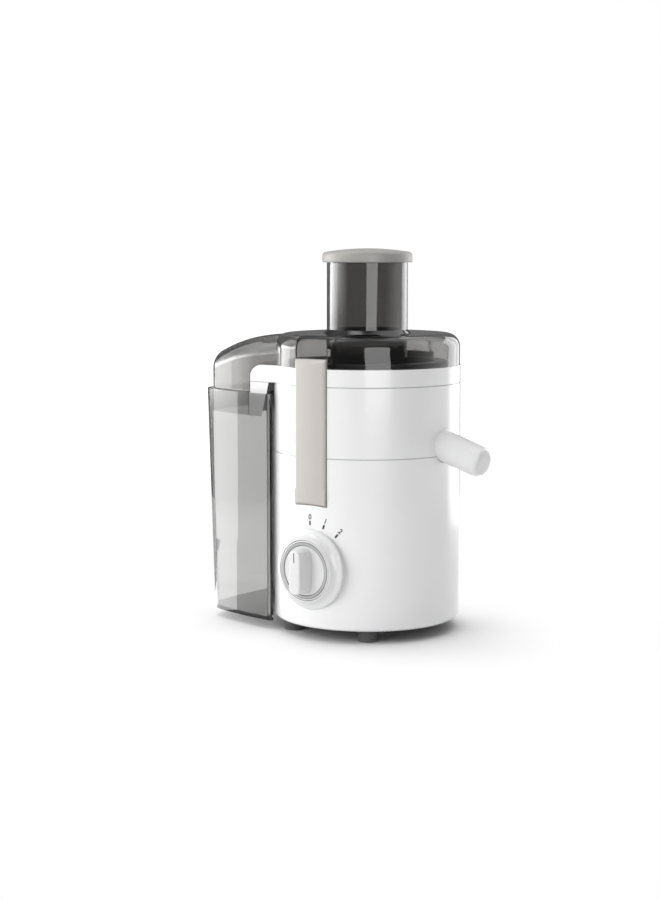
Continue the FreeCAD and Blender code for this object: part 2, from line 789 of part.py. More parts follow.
def field_coils():
    coils = []
    window = "(pole_half_width + fit_gap)"
    low = f"({STATOR_BOTTOM} - fit_gap)"
    high = f"({STATOR_TOP} + fit_gap)"
    for key, near, far in (
            ("left", f"-{SHOE_RADIUS} - fit_gap - coil_depth", f"-{SHOE_RADIUS} - fit_gap"),
            ("right", f"{SHOE_RADIUS} + fit_gap", f"{SHOE_RADIUS} + fit_gap + coil_depth")):
        body = block(f"coil_body_{key}", (near, far), (f"-{window} - coil_side", f"{window} + coil_side"),
                     (f"{low} - coil_side", f"{high} + coil_side"))
        core = block(f"coil_window_{key}", (near, far), (f"-{window}", window), (low, high))
        coils.append(minus(f"coil_{key}", body, core))
    keep(group("coils", *coils), "field_coils")


def brushes():
    holders = []
    sticks = []
    low = f"({BRUSH_Z} - brush_height / 2)"
    high = f"({BRUSH_Z} + brush_height / 2)"
    near = "(commutator_radius + 2 * holder_wall)"
    far = f"({near} + holder_length)"
    tip = "(commutator_radius + brush_gap)"
    back = f"({far} - holder_wall)"
    room = ("-brush_width / 2", "brush_width / 2")
    across = ("-brush_width / 2 - holder_wall", "brush_width / 2 + holder_wall")
    spans = {
        "left": ((f"-{far}", f"-{near}"), (f"-{back}", f"-{tip}")),
        "right": ((near, far), (tip, back)),
    }
    for key, (ends, tips) in spans.items():
        outer = block(f"holder_body_{key}", ends, across, (LOWER_TOP, f"{high} + holder_wall"))
        bore = block(f"holder_bore_{key}", ends, room, (low, high))
        holders.append(minus(f"holder_{key}", outer, bore))
        sticks.append(block(f"brush_{key}", tips, room, (low, high)))
    keep(group("holders", *holders), "brush_holders")
    keep(group("sticks", *sticks), "carbon_brushes")


def on_shaft(label, solid, low, high):
    """A piece bored to sit on the motor shaft."""
    keep(minus(f"{label}_piece", solid, pillar(f"{label}_bore", "shaft_radius", low, high)), label)


def rotor():
    keep(pillar("shaft", "shaft_radius", SHAFT_BOTTOM, f"({COUPLING_TOP} - coupling_cap)"), "motor_shaft")
    core = pillar("core_round", "armature_radius", STATOR_BOTTOM, STATOR_TOP)
    slot = block("core_slot", ("armature_radius - armature_slot_depth", "armature_radius + wall"),
                 ("-armature_slot_width / 2", "armature_slot_width / 2"), (STATOR_BOTTOM, STATOR_TOP))
    slots = [spun(f"core_slot_{index}", slot, angle) for index, angle in enumerate(around(SLOTS))]
    on_shaft("armature_core", minus("core_slotted", core, *slots), STATOR_BOTTOM, STATOR_TOP)
    rings = []
    for key, low, high in (("top", STATOR_TOP, f"({STATOR_TOP} + winding_height)"),
                           ("bottom", f"({STATOR_BOTTOM} - winding_height)", STATOR_BOTTOM)):
        rings.append(minus(f"winding_{key}", pillar(f"winding_{key}_round", "winding_radius", low, high),
                           pillar(f"winding_{key}_bore", "shaft_radius", low, high)))
    keep(group("windings", *rings), "armature_winding")
    low = f"({LOWER_TOP} + brush_gap)"
    high = f"({low} + commutator_height)"
    on_shaft("commutator", pillar("commutator_round", "commutator_radius", low, high), low, high)
    cooling_fan()


def cooling_fan():
    low = f"({FAN_TOP} - fan_height)"
    hub = pillar("fan_hub", "fan_hub_radius", low, FAN_TOP)
    plate = pillar("fan_plate_round", "fan_radius", f"({FAN_TOP} - fan_plate)", FAN_TOP)
    blade = block("fan_blade_one", ("fan_hub_radius - fan_blade", "fan_radius"),
                  ("-fan_blade / 2", "fan_blade / 2"), (low, FAN_TOP))
    blades = [spun(f"fan_blade_{index}", blade, angle) for index, angle in enumerate(around(BLADES))]
    on_shaft("cooling_fan", union("fan_solid", hub, plate, *blades), low, FAN_TOP)


def shaft_seal():
    low = f"({TOWER_TOP} - wall)"
    flange_top = f"({TOWER_TOP} + seal_flange_height)"
    solid = union("seal_solid", pillar("seal_plug", "seal_radius", low, TOWER_TOP),
                  pillar("seal_flange", "seal_flange_radius", TOWER_TOP, flange_top))
    keep(minus("seal", solid, pillar("seal_lip", "(shaft_radius + seal_lip_gap)", low, flange_top)),
         "shaft_seal")


def coupling_form(name, grow, low, high):
    """The three-lugged driver, or with growth the socket that takes it."""
    core = pillar(f"{name}_core", f"(coupling_radius + {grow})", low, high)
    lug = block(f"{name}_lug", ("0", f"coupling_lug_reach + {grow}"),
                (f"-coupling_lug_width / 2 - {grow}", f"coupling_lug_width / 2 + {grow}"), (low, high))
    lugs = [spun(f"{name}_lug_{index}", lug, angle) for index, angle in enumerate(around(LUGS))]
    return union(name, core, *lugs)


def basket():
    driver = coupling_form("driver", "0", COUPLING_BOTTOM, COUPLING_TOP)
    on_shaft("drive_coupling", driver, COUPLING_BOTTOM, f"({COUPLING_TOP} - coupling_cap)")
    socket = coupling_form("socket", "fit_gap", f"({COUPLING_BOTTOM} - wall)",
                           f"({COUPLING_TOP} + fit_gap)")
    hub = pillar("hub_round", "(coupling_lug_reach + fit_gap + hub_wall)", COUPLING_BOTTOM,
                 BASKET_FLOOR_TOP)
    floor = cone("basket_floor_plate", "basket_floor_radius",
                 f"basket_floor_radius + {MESH_GROWTH} * basket_floor", "basket_floor",
                 ("0", "0", BASKET_BOTTOM))
    keep(minus("hub", union("hub_solid", hub, floor), socket), "basket_hub")
    grater_disc()
    filter_mesh()
    rim = revolved("rim_ring", [
        ("rim_inner_radius", RIM_BOTTOM), ("rim_radius", RIM_BOTTOM), ("rim_radius", RIM_FLANGE),
        ("rim_flange_radius", RIM_FLANGE), ("rim_flange_radius", f"{RIM_FLANGE} + rim_flange_height"),
        ("rim_inner_radius", f"{RIM_FLANGE} + rim_flange_height")])
    keep(rim, "basket_rim")


def grater_disc():
    top = f"({BASKET_FLOOR_TOP} + grater_thickness)"
    pieces = [pillar("grater_plate", "basket_floor_radius", BASKET_FLOOR_TOP, top)]
    for ring in range(TOOTH_RINGS):
        reach = f"(tooth_first_ring + tooth_ring_pitch * {ring})"
        for index, angle in enumerate(around(TEETH)):
            turn = angle + ring * 360.0 / TEETH / 2
            spot = (f"{reach} * cos({turn})", f"{reach} * sin({turn})", top)
            pieces.append(cone(f"tooth_{ring}_{index}", "tooth_radius", "tooth_tip_radius",
                               "tooth_height", spot))
    keep(union("grater", *pieces), "grater_disc")


def filter_mesh():
    inner = cone("mesh_inner", "basket_floor_radius", "basket_top_radius", "basket_height",
                 ("0", "0", BASKET_BOTTOM))
    outer = cone("mesh_outer", "basket_floor_radius + mesh_thickness", "basket_top_radius + mesh_thickness",
                 "basket_height", ("0", "0", BASKET_BOTTOM))
    holes = []
    pitch = f"((basket_height - basket_floor - 2 * mesh_margin) / {MESH_ROWS - 1})"
    reach = "basket_floor_radius / 2"
    for row in range(MESH_ROWS):
        height = f"({BASKET_FLOOR_TOP} + mesh_margin + {row} * {pitch})"
        for index, angle in enumerate(around(MESH_COLUMNS)):
            turn = angle + (row % 2) * 180.0 / MESH_COLUMNS
            axis = FreeCAD.Rotation(UP, turn).multVec(X_AXIS)
            start = (f"{reach} * cos({turn})", f"{reach} * sin({turn})", height)
            holes.append(cylinder(f"mesh_hole_{row}_{index}", "mesh_hole_radius", "basket_top_radius",
                                  start, axis))
    keep(minus("mesh", minus("mesh_cone", outer, inner), group("mesh_holes", *holes)), "filter_mesh")


def ring_piece(name, inner, outer, half, low, high):
    """A short stretch of a ring on the bin's side of the body."""
    ring = minus(f"{name}_ring", pillar(f"{name}_outer", outer, low, high),
                 pillar(f"{name}_inner", inner, low, high))
    width = block(f"{name}_width", (f"-{LIP_RADIUS}", "0"), (f"-{half}", half), (low, high))
    return overlap(name, ring, width)


def juice_collector():
    outer = revolved("collector_outer", [
        ("0", SEAT), ("body_radius - seam_bevel", SEAT), ("body_radius", f"{SEAT} + seam_bevel"),
        ("body_radius", f"{GUIDE_SEAT} - seam_bevel"), ("body_radius - seam_bevel", GUIDE_SEAT),
        ("0", GUIDE_SEAT)])
    low = f"({SEAT} - wall)"
    high = f"({GUIDE_SEAT} + wall)"
    slots = channel("collector_slots", "0", low, high)
    pads = channel("collector_slot_walls", "wall", low, high)
    rooms = union("collector_rooms", pillar("under_floor", INNER, low, FLOOR_UNDER),
                  pillar("bowl", INNER, FLOOR_TOP, high))
    slotted = minus("collector_slotted", outer, slots)
    shell = minus("collector_shell", slotted, minus("collector_space", rooms, pads))
    chimney_top = f"({FLOOR_TOP} + chimney_rise)"
    chimney = pillar("chimney", CHIMNEY_RADIUS, FLOOR_UNDER, chimney_top)
    trough = overlap("trough", sump("trough_round", "spout_root_radius"),
                     pillar("trough_limit", "body_radius", DECK_UNDER, FLOOR_TOP))
    ledge_top = f"({HOOK_UNDER} - bin_hook_rest)"
    ledge = ring_piece("bin_ledge", f"{INNER} + wall / 2", f"({BIN_WALL_RADIUS} - fit_gap)",
                       "bin_hook_half_width", f"({ledge_top} - bin_ledge_height)", ledge_top)
    keep(minus(
        "collector", union("collector_solid", shell, chimney, trough, ledge),
        pillar("chimney_bore", "(tower_radius + fit_gap)", SEAT, chimney_top),
        sump("trough_bore", "spout_spigot_radius + fit_gap")), "juice_collector")


def juice_spout():
    axis = spout_axis()
    start = "(-spout_spigot_length)"
    taper = "((spout_root_radius - spout_tip_radius) / spout_length)"
    root = f"(spout_root_radius + {taper} * spout_spigot_length)"
    tube = cone("spout_tube", root, "spout_tip_radius", "spout_length + spout_spigot_length",
                spout_spot(start), axis)
    doc.recompute()
    tip = tube.Placement.multVec(FreeCAD.Vector(0, 0, tube.Height.Value))
    blunt = rounded("spout_rounded", tube, "spout_end_round",
                    lambda edge: edge.CenterOfMass.distanceToPoint(tip) < TINY)
    outside = minus("spout_outside", blunt, pillar("spout_seat", "body_radius", DECK_UNDER, GUIDE_SEAT))
    spigot = cylinder("spout_spigot", "spout_spigot_radius", "2 * spout_spigot_length",
                      spout_spot(start), axis)
    bore = cone("spout_bore", "spout_spigot_radius - spout_wall", "spout_tip_radius - spout_wall",
                "spout_length + spout_spigot_length - spout_wall", spout_spot(start), axis)
    low = f"({SPOUT_Z} - spout_length)"
    middle = spout_spot("outlet_reach")
    half = "outlet_length / 2"
    outlet = union(
        "outlet", pillar("outlet_near", "outlet_radius", low, middle[2], f"{middle[0]} - {half}"),
        pillar("outlet_far", "outlet_radius", low, middle[2], f"{middle[0]} + {half}"),
        block("outlet_middle", (f"{middle[0]} - {half}", f"{middle[0]} + {half}"),
              ("-outlet_radius", "outlet_radius"), (low, middle[2])))
    keep(minus("spout", union("spout_solid", outside, spigot), bore, outlet), "juice_spout")


def lip_form(name, inset, bottom, half, hollow):
    """The lip's rounded section on the bin's side, solid or as the space inside it."""
    outer = f"({LIP_RADIUS} - {inset})"
    top = f"({DECK_TOP} - {inset})"
    if hollow:
        points = [("body_radius", bottom), (outer, bottom), (outer, top), ("body_radius", top)]
    else:
        points = [(INNER, GUIDE_SEAT), (LIP_SEAT, GUIDE_SEAT), (LIP_FOOT, bottom),
                  (outer, bottom), (outer, top), (INNER, top)]
    section = soften(revolved(f"{name}_turned", points), f"lip_round - {inset}", circle_at(outer, top))
    return overlap(name, section, block(f"{name}_width", (f"-{LIP_RADIUS}", "0"), (f"-{half}", half),
                                        (f"{LIP_BOTTOM} - wall", DECK_TOP)))


def pulp_guide():
    outer = revolved("guide_outer", [
        ("deck_opening_radius", GUIDE_SEAT), ("body_radius - seam_bevel", GUIDE_SEAT),
        ("body_radius", f"{GUIDE_SEAT} + seam_bevel"), ("body_radius", DECK_TOP),
        ("deck_opening_radius", DECK_TOP)])
    low = f"({GUIDE_SEAT} - wall)"
    slots = channel("guide_slots", "0", low, f"({DECK_TOP} + wall)")
    pads = channel("guide_slot_walls", "wall", low, f"({DECK_TOP} + wall)")
    room = minus("guide_ring_room", pillar("guide_room_outer", INNER, low, f"({DECK_TOP} - wall)"),
                 pillar("guide_room_inner", "(deck_opening_radius + wall)", low, f"({DECK_TOP} - wall)"))
    ring = minus("guide_ring", minus("guide_slotted", outer, slots), minus("guide_space", room, pads))
    solid = lip_form("lip_solid", "0", LIP_BOTTOM, LIP_HALF, False)
    hollow = lip_form("lip_hollow", "wall", f"({LIP_BOTTOM} - wall)", f"({LIP_HALF} - wall)", True)
    keep(union("guide", ring, minus("lip", solid, hollow)), "pulp_guide")


def side_walls(name, inset):
    """Two broad upright cylinders whose overlap has the bin's front and back curves."""
    radius = f"(bin_side_radius - {inset})"
    return [pillar(f"{name}_{side}", radius, "0", LID_TOP, f"-{BIN_SIDE_X}", f"{sign} * {BIN_SIDE_Y}")
            for side, sign in SIDES]


def corner_edges(reach, height):
    """Pick the long upright edges past a distance on the bin's side."""
    return lambda edge: (edge.BoundBox.XMax < -measure(reach)
                         and edge.BoundBox.ZLength > measure(height) / 2)


def hood_form(name, inset, bottom):
    """The hood over the bin, as its outside or, with more inset, the room inside it."""
    deeper = f"({inset} - hood_inset)"
    walls = side_walls(name, inset)
    end = pillar(f"{name}_end", f"(bin_end_radius + bin_flare - {inset})", bottom, LID_TOP,
                 BIN_END_CENTRE)
    limit = block(f"{name}_limit", ("-bin_end_radius", "-hood_start_x"),
                  ("-bin_side_radius", "bin_side_radius"), (bottom, LID_TOP))
    plan = overlap(f"{name}_plan", *walls, end, limit)
    corners = rounded(f"{name}_corners", plan, f"hood_corner - {deeper}",
                      corner_edges("body_radius", "lid_height"))
    crown = cylinder(f"{name}_crown", f"hood_crown_radius - {deeper}", "2 * bin_side_radius",
                     (f"-{HOOD_CROWN_X}", "-bin_side_radius", f"{LID_TOP} - hood_crown_radius"), Y_AXIS)
    block_form = overlap(f"{name}_block", corners, crown)
    return rounded(name, block_form, f"hood_top_round - {deeper}",
                   lambda edge: (edge.BoundBox.ZMin > measure(DECK_TOP) - measure("wall")
                                 and edge.BoundBox.XMin < -measure(HOOD_CROWN_X)))


def round_lid(name, inset, bottom):
    radius = f"({LID_RADIUS} - {inset})"
    top = f"({LID_TOP} - {inset})"
    body = revolved(name, [("0", bottom), (radius, bottom), (radius, top), ("0", top)])
    return soften(body, f"lid_round - {inset}", circle_at(radius, top))


def latch_pockets(name, grow):
    """Finger pockets over the two latches, with the ledge each hook holds down."""
    half = f"(latch_width / 2 + latch_side_gap + {grow})"
    across = (f"-{half}", half)
    reach = f"({LATCH_RADIUS} + latch_width)"
    pocket = (f"({POCKET_FLOOR} - {grow})", f"({LEDGE_TOP} - {grow})",
              f"({LID_TOP} - pocket_top_wall + {grow})")
    ledge = (f"({CHANNEL_FLOOR} - {grow})", f"({DECK_TOP} - {grow})", LEDGE_TOP)
    items = []
    for key, (floor, low, high) in (("pocket", pocket), ("ledge", ledge)):
        items.append(block(f"{name}_{key}_front", across, (f"-{reach}", f"-{floor}"), (low, high)))
        items.append(block(f"{name}_{key}_rear", across, (floor, reach), (low, high)))
    return union(name, *items)


def lid():
    foot_radius = "(chute_radius + chute_foot)"
    plate_middle = f"({LID_TOP} - wall / 2)"
    chute = revolved("chute_tube", [
        ("0", CHUTE_BOTTOM), ("chute_radius", CHUTE_BOTTOM), ("chute_radius", plate_middle),
        (foot_radius, plate_middle), (foot_radius, LID_TOP), ("chute_radius", f"({LID_TOP} + chute_foot)"),
        ("chute_radius", CHUTE_TOP), ("0", CHUTE_TOP)])
    outside = union("lid_outside", round_lid("lid_round_outside", "0", DECK_TOP),
                    hood_form("hood_outside", "hood_inset", LIP_BOTTOM), chute)
    kept = union("lid_kept", latch_pockets("lid_pocket_walls", "wall"),
                 pillar("chute_kept", "chute_radius", CHUTE_BOTTOM, CHUTE_TOP))
    round_space = minus("lid_round_space", round_lid("lid_round_inside", "wall", f"({DECK_TOP} - wall)"),
                        kept)
    hood_space = minus("lid_hood_space", hood_form("hood_inside", "(hood_inset + wall)",
                                                   f"({LIP_BOTTOM} - wall)"), kept)
    pocketed = minus("lid_pocketed", outside, latch_pockets("lid_pockets", "0"))
    shell = minus("lid_shell", minus("lid_round_shell", pocketed, round_space), hood_space)
    lip_outer = f"({LIP_RADIUS} + lid_lip_gap)"
    low = f"({LIP_BOTTOM} - wall)"
    lip_space = soften(revolved("lid_lip_space", [
        (foot_radius, low), (lip_outer, low), (lip_outer, DECK_TOP), (foot_radius, DECK_TOP)]),
        "lip_round", circle_at(lip_outer, DECK_TOP))
    keep(minus(
        "lid_piece", shell,
        pillar("chute_bore", "(chute_radius - chute_wall)", CHUTE_BOTTOM, CHUTE_TOP), lip_space), "lid")


def pusher():
    inner = f"({PUSHER_RADIUS} - pusher_wall)"
    floor = f"({PUSHER_BOTTOM} + pusher_wall)"
    tube = revolved("pusher_cup", [
        ("0", PUSHER_BOTTOM), (PUSHER_RADIUS, PUSHER_BOTTOM), (PUSHER_RADIUS, CAP_UNDER),
        (inner, CAP_UNDER), (inner, floor), ("0", floor)])
    keep(soften(tube, "pusher_wall", circle_at(PUSHER_RADIUS, PUSHER_BOTTOM)), "pusher_tube")
    edge = f"({CAP_UNDER} + cap_edge_height)"
    top = f"({edge} + cap_dome)"
    ball = doc.addObject("Part::Sphere", "cap_ball")
    ball_radius = "((cap_radius * cap_radius + cap_dome * cap_dome) / (2 * cap_dome))"
    bind(ball, "Radius", ball_radius)
    place(ball, ("0", "0", f"{top} - {ball_radius}"))
    disc = overlap("cap_disc", pillar("cap_round", "cap_radius", CAP_UNDER, top), ball)
    soft = rounded("cap_soft", disc, "cap_edge_round", circle_at("cap_radius", edge))
    plug_low = f"({CAP_UNDER} - cap_plug_depth)"
    plug = pillar("cap_plug", f"({inner} - fit_gap)", plug_low, CAP_UNDER)
    room = pillar("cap_room", f"({inner} - fit_gap - wall)", plug_low, edge)
    keep(minus("cap", union("cap_solid", soft, plug), room), "pusher_cap")


def bin_form(name, inset, low, high):
    """The pulp bin's outside or, with inset, the room inside it."""
    slope = f"(bin_flare / ({BIN_RIM} - bin_bottom))"
    end = cone(f"{name}_end", f"bin_end_radius - {inset} + {slope} * ({low} - bin_bottom)",
               f"bin_end_radius - {inset} + {slope} * ({high} - bin_bottom)", f"{high} - {low}",
               (BIN_END_CENTRE, "0", low))
    limit = block(f"{name}_limit", ("-bin_end_radius", "0"), ("-bin_side_radius", "bin_side_radius"),
                  (low, high))
    plan = minus(f"{name}_hollowed", overlap(f"{name}_plan", *side_walls(name, inset), end, limit),
                 pillar(f"{name}_hollow", f"({BIN_WALL_RADIUS} + {inset})", low, high))
    return rounded(f"{name}_corners", plan, f"bin_corner - {inset}", corner_edges("body_radius", high))


def tip_edges(height):
    """Pick the two sharp upright edges where the bin's side walls meet its hollow."""
    return lambda edge: (edge.BoundBox.XMin > -measure("body_radius")
                         and edge.BoundBox.ZLength > measure(height) / 2)


def pulp_bin():
    outside = rounded("bin_outside", bin_form("bin_outer", "0", "bin_bottom", BIN_RIM), "bin_tip_round",
                      tip_edges(BIN_RIM))
    low = "(bin_bottom + bin_floor)"
    room = rounded("bin_room", bin_form("bin_inner", "wall", low, f"({BIN_RIM} + wall)"),
                   "bin_room_tip_round", tip_edges(BIN_RIM))
    hook = ring_piece("bin_hook", "(body_radius + bin_hook_gap)", f"({BIN_WALL_RADIUS} + wall)",
                      "bin_hook_half_width", HOOK_UNDER, f"({HOOK_UNDER} + bin_hook_height)")
    pad_low = f"({low} + bottom_round)"
    pad = ring_piece("bin_pad", "(body_radius + bin_pad_gap)", f"({BIN_WALL_RADIUS} + wall)",
                     "bin_hook_half_width", pad_low, f"({pad_low} + bin_pad_height)")
    keep(minus("bin", union("bin_solid", outside, hook, pad), room), "pulp_bin")


def latches():
    """The rear lever is drawn, and the front one is its mirror image."""
    back = f"({CHANNEL_FLOOR} + latch_side_gap)"
    front = f"({LATCH_RADIUS} + wall)"
    hook_under = f"({LEDGE_TOP} + fit_gap)"
    tip = f"({POCKET_FLOOR} + fit_gap)"
    bevel = "(latch_top_bevel + wall)"
    plate = padded("latch_plate", "YZ_Plane", [
        (back, PIN_Z), (front, PIN_Z), (front, f"{LATCH_TOP} - {bevel}"),
        (f"{front} - {bevel}", LATCH_TOP), (tip, LATCH_TOP), (tip, hook_under), (back, hook_under)],
        "(latch_width / 2)")
    start = ("-latch_width / 2", PIN_OFFSET, PIN_Z)
    barrel = cylinder("latch_barrel", "barrel_radius", "latch_width", start, X_AXIS)
    curve = pillar("latch_curve", LATCH_RADIUS, f"({PIN_Z} - barrel_radius)", LATCH_TOP)
    soft = rounded("latch_soft", overlap("latch_bar", plate, curve), "latch_edge_round", lambda edge: (
        edge.BoundBox.YMin > measure(CHANNEL_FLOOR) + measure("latch_pocket_depth")
        and edge.BoundBox.ZLength > measure("collector_height")))
    lever = union("latch_lever", soft, overlap("latch_hinge", barrel, curve))
    half = "(latch_width / 2 - latch_rib)"
    hollow = block("latch_hollow", (f"-{half}", half), (f"{back} - wall", f"{back} + latch_pocket_depth"),
                   (f"{PLUNGER_Z} + plunger_radius + latch_rib", f"{LEDGE_TOP} - latch_rib"))
    bore = cylinder("latch_bore", "pin_radius + pin_gap", "latch_width", start, X_AXIS)
    rear = minus("rear_lever", lever, hollow, bore)
    keep(rear, "rear_latch")
    keep(mirrored("front_lever", rear), "front_latch")
    reach = "(latch_width / 2 + latch_side_gap + pin_end)"
    pins = [cylinder(f"pin_{side}", "pin_radius", f"2 * {reach}",
                     (f"-{reach}", f"{sign} * {PIN_OFFSET}", PIN_Z), X_AXIS) for side, sign in SIDES]
    keep(group("pins", *pins), "latch_pins")


def dial_spot():
    """The dial axis, where distances run forward from the drive axis."""
    return ("0", "0", "dial_height")


def dial():
    well = "(bezel_top_radius - bezel_lip)"
    well_floor = f"({BEZEL_FACE} - bezel_well_depth)"
    deep = "(body_radius - bezel_radius / 2)"
    ring = revolved("bezel_ring", [
        ("bezel_hole_radius", deep), ("bezel_radius", deep),
        ("bezel_radius", "body_radius + bezel_rim_proud"), ("bezel_top_radius", BEZEL_FACE),
        (well, BEZEL_FACE), (well, well_floor), ("bezel_hole_radius", well_floor)], dial_spot(), FRONT)
    keep(minus("bezel", ring, pillar("bezel_seat", "body_radius", "0", SEAT)), "dial_bezel")
    speed_knob()
    spindle_end = f"({KNOB_BACK} - knob_hub_length + spindle_depth)"
    start = ("0", f"-({SWITCH_FACE} + fit_gap)", "dial_height")
    keep(cylinder("spindle", "spindle_radius", f"{spindle_end} - {SWITCH_FACE} - fit_gap", start, FRONT),
         "switch_spindle")
    keep(block("switch_box", ("-switch_width / 2", "switch_width / 2"),
               (f"-{SWITCH_FACE}", f"-{SWITCH_FACE} + switch_depth"),
               ("dial_height - switch_height / 2", "dial_height + switch_height / 2")), "speed_switch")


def speed_knob():
    disc = soften(revolved("knob_disc", [
        ("0", KNOB_BACK), ("knob_radius", KNOB_BACK), ("knob_radius", KNOB_FACE), ("0", KNOB_FACE)],
        dial_spot(), FRONT), "knob_edge_round", circle_at("knob_radius", KNOB_FACE))
    half = "grip_width / 2"
    long_half = "grip_length / 2"
    bar = block("grip_bar", (f"-{half}", half),
                (f"-{KNOB_FACE} - grip_height", f"-{KNOB_FACE} + knob_height / 2"),
                (f"dial_height - {long_half}", f"dial_height + {long_half}"))
    grip = rounded("grip", bar, "grip_round",
                   lambda edge: edge.BoundBox.YMin < -measure(KNOB_FACE) - TINY)
    hub_start = ("0", f"-({KNOB_BACK} - knob_hub_length)", "dial_height")
    hub = cylinder("knob_hub", "knob_hub_radius", "knob_hub_length + knob_height / 2", hub_start, FRONT)
    bore = cylinder("knob_bore", "spindle_radius", "spindle_depth", hub_start, FRONT)
    inner = "(knob_ring_radius - knob_ring_width)"
    low = f"({KNOB_FACE} - knob_ring_depth)"
    groove = revolved("ring_groove", [
        (inner, low), ("knob_ring_radius", low), ("knob_ring_radius", f"{KNOB_FACE} + wall"),
        (inner, f"{KNOB_FACE} + wall")], dial_spot(), FRONT)
    keep(minus("knob", union("knob_solid", disc, grip, hub), bore, groove), "speed_knob")
    high = f"({KNOB_FACE} + knob_ring_proud)"
    keep(revolved("ring_trim", [
        (inner, low), ("knob_ring_radius", low), ("knob_ring_radius", high), (inner, high)],
        dial_spot(), FRONT), "knob_ring")


def safety_parts():
    start = ("0", f"-{CHANNEL_FLOOR}", PLUNGER_Z)
    keep(cylinder("plunger", "plunger_radius", "plunger_length", start, Y_AXIS), "safety_plunger")
    near = f"-{PLUNGER_BACK} + fit_gap"
    keep(block("safety_box", ("-safety_width / 2", "safety_width / 2"), (near, f"{near} + safety_depth"),
               (f"{PLUNGER_Z} - safety_height / 2", f"{PLUNGER_Z} + safety_height / 2")), "safety_switch")


def cord_gland():
    inside = f"({INNER} - gland_flange)"
    length = "(wall + 2 * gland_flange)"
    bush = cylinder("gland_bush", "gland_radius", length, ("0", inside, "gland_height"), Y_AXIS)
    collar = minus("gland_collar", cylinder("gland_collar_round", "gland_flange_radius", length,
                                            ("0", inside, "gland_height"), Y_AXIS),
                   pillar("gland_seat", "body_radius", "0", SEAT))
    bore = cylinder("gland_hole_through", "gland_bore", length, ("0", inside, "gland_height"), Y_AXIS)
    keep(minus("gland", union("gland_solid", bush, collar), bore), "cord_gland")


def check_and_write():
    """Stop on a failed object or a bad solid, then write each sub-part."""
    doc.recompute()
    for item in doc.Objects:
        if "Invalid" in item.State or "Error" in item.State:
            raise RuntimeError(f"{item.Label} failed: {item.State}")
    for node in nodes:
        if node.Shape.isNull() or not node.Shape.isValid() or not node.Shape.Solids:
            raise RuntimeError(f"{node.Label} has no valid solid")
    os.makedirs("parts", exist_ok=True)
    for node in nodes:
        node.Shape.exportStep(f"parts/{node.Label}.step")


fill_sheet()
base_housing()
bottom_cover()
rubber_feet()
cover_screws()
motor_mounting()
upper_bracket()
lower_bracket()
bearings()
stator()
field_coils()
brushes()
rotor()
shaft_seal()
basket()
juice_collector()
juice_spout()
pulp_guide()
lid()
pusher()
pulp_bin()
latches()
dial()
safety_parts()
cord_gland()
check_and_write()
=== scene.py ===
"""Centrifugal juicer: finishes, fine pieces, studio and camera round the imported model.

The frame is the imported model's own: metres, +Z up, dial and front latch towards -Y, spout along +X
and pulp bin on the -X side.
"""

import json
import math

import bmesh
import bpy
from bpy.props import FloatProperty, FloatVectorProperty, PointerProperty
from mathutils import Matrix, Vector


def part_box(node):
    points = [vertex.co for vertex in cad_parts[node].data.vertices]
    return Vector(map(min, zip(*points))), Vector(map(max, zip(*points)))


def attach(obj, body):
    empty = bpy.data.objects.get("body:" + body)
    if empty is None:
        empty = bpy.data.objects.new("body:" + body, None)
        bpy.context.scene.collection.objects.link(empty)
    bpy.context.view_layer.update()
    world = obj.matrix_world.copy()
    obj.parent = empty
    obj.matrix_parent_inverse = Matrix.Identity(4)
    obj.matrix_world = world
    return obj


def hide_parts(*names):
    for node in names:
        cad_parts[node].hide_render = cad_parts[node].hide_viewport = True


bl_info = {
    "name": "Centrifugal Juicer",
    "version": (1, 0, 0),
    "blender": (4, 5, 0),
    "location": "View3D > Sidebar > Juicer",
    "description": "Finishes and fine pieces of a centrifugal juicer, with its studio",
    "category": "Object",
}

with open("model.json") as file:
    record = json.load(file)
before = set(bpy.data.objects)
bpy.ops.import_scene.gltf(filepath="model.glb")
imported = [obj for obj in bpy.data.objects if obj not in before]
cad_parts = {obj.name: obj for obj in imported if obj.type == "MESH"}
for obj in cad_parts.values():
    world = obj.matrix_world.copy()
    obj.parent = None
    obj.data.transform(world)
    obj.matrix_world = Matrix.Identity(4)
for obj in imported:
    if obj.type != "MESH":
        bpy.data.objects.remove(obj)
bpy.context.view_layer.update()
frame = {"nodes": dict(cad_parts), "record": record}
NODES = frame["nodes"]
SLOT_OF = {part["node"]: part["material_slot"] for part in frame["record"]["subparts"]}

MM = 0.001
BODY_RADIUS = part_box("base_housing")[1].x
UPPER_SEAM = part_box("juice_collector")[1].z
DIAL_LOW, DIAL_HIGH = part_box("dial_bezel")
DIAL_CENTRE = Vector((0, 0, (DIAL_LOW.z + DIAL_HIGH.z) / 2))
KNOB_LOW, KNOB_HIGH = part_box("speed_knob")
RING_LOW, RING_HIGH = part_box("knob_ring")
RING_WIDTH = 3.6 * MM
RING_INNER = RING_HIGH.x - RING_WIDTH
CAP_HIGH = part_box("pusher_cap")[1]
CUP_LOW, CUP_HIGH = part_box("pusher_tube")
FEET_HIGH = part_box("rubber_feet")[1]
SCREW_LOW, SCREW_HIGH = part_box("cover_screws")
GLAND_LOW, GLAND_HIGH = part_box("cord_gland")

FRONT_TURN = (math.pi / 2, 0, 0)
BACK_TURN = (-math.pi / 2, 0, 0)
CORNERS = ((1, 1), (-1, 1), (-1, -1), (1, -1))
MERGE_GAP = 0.001 * MM


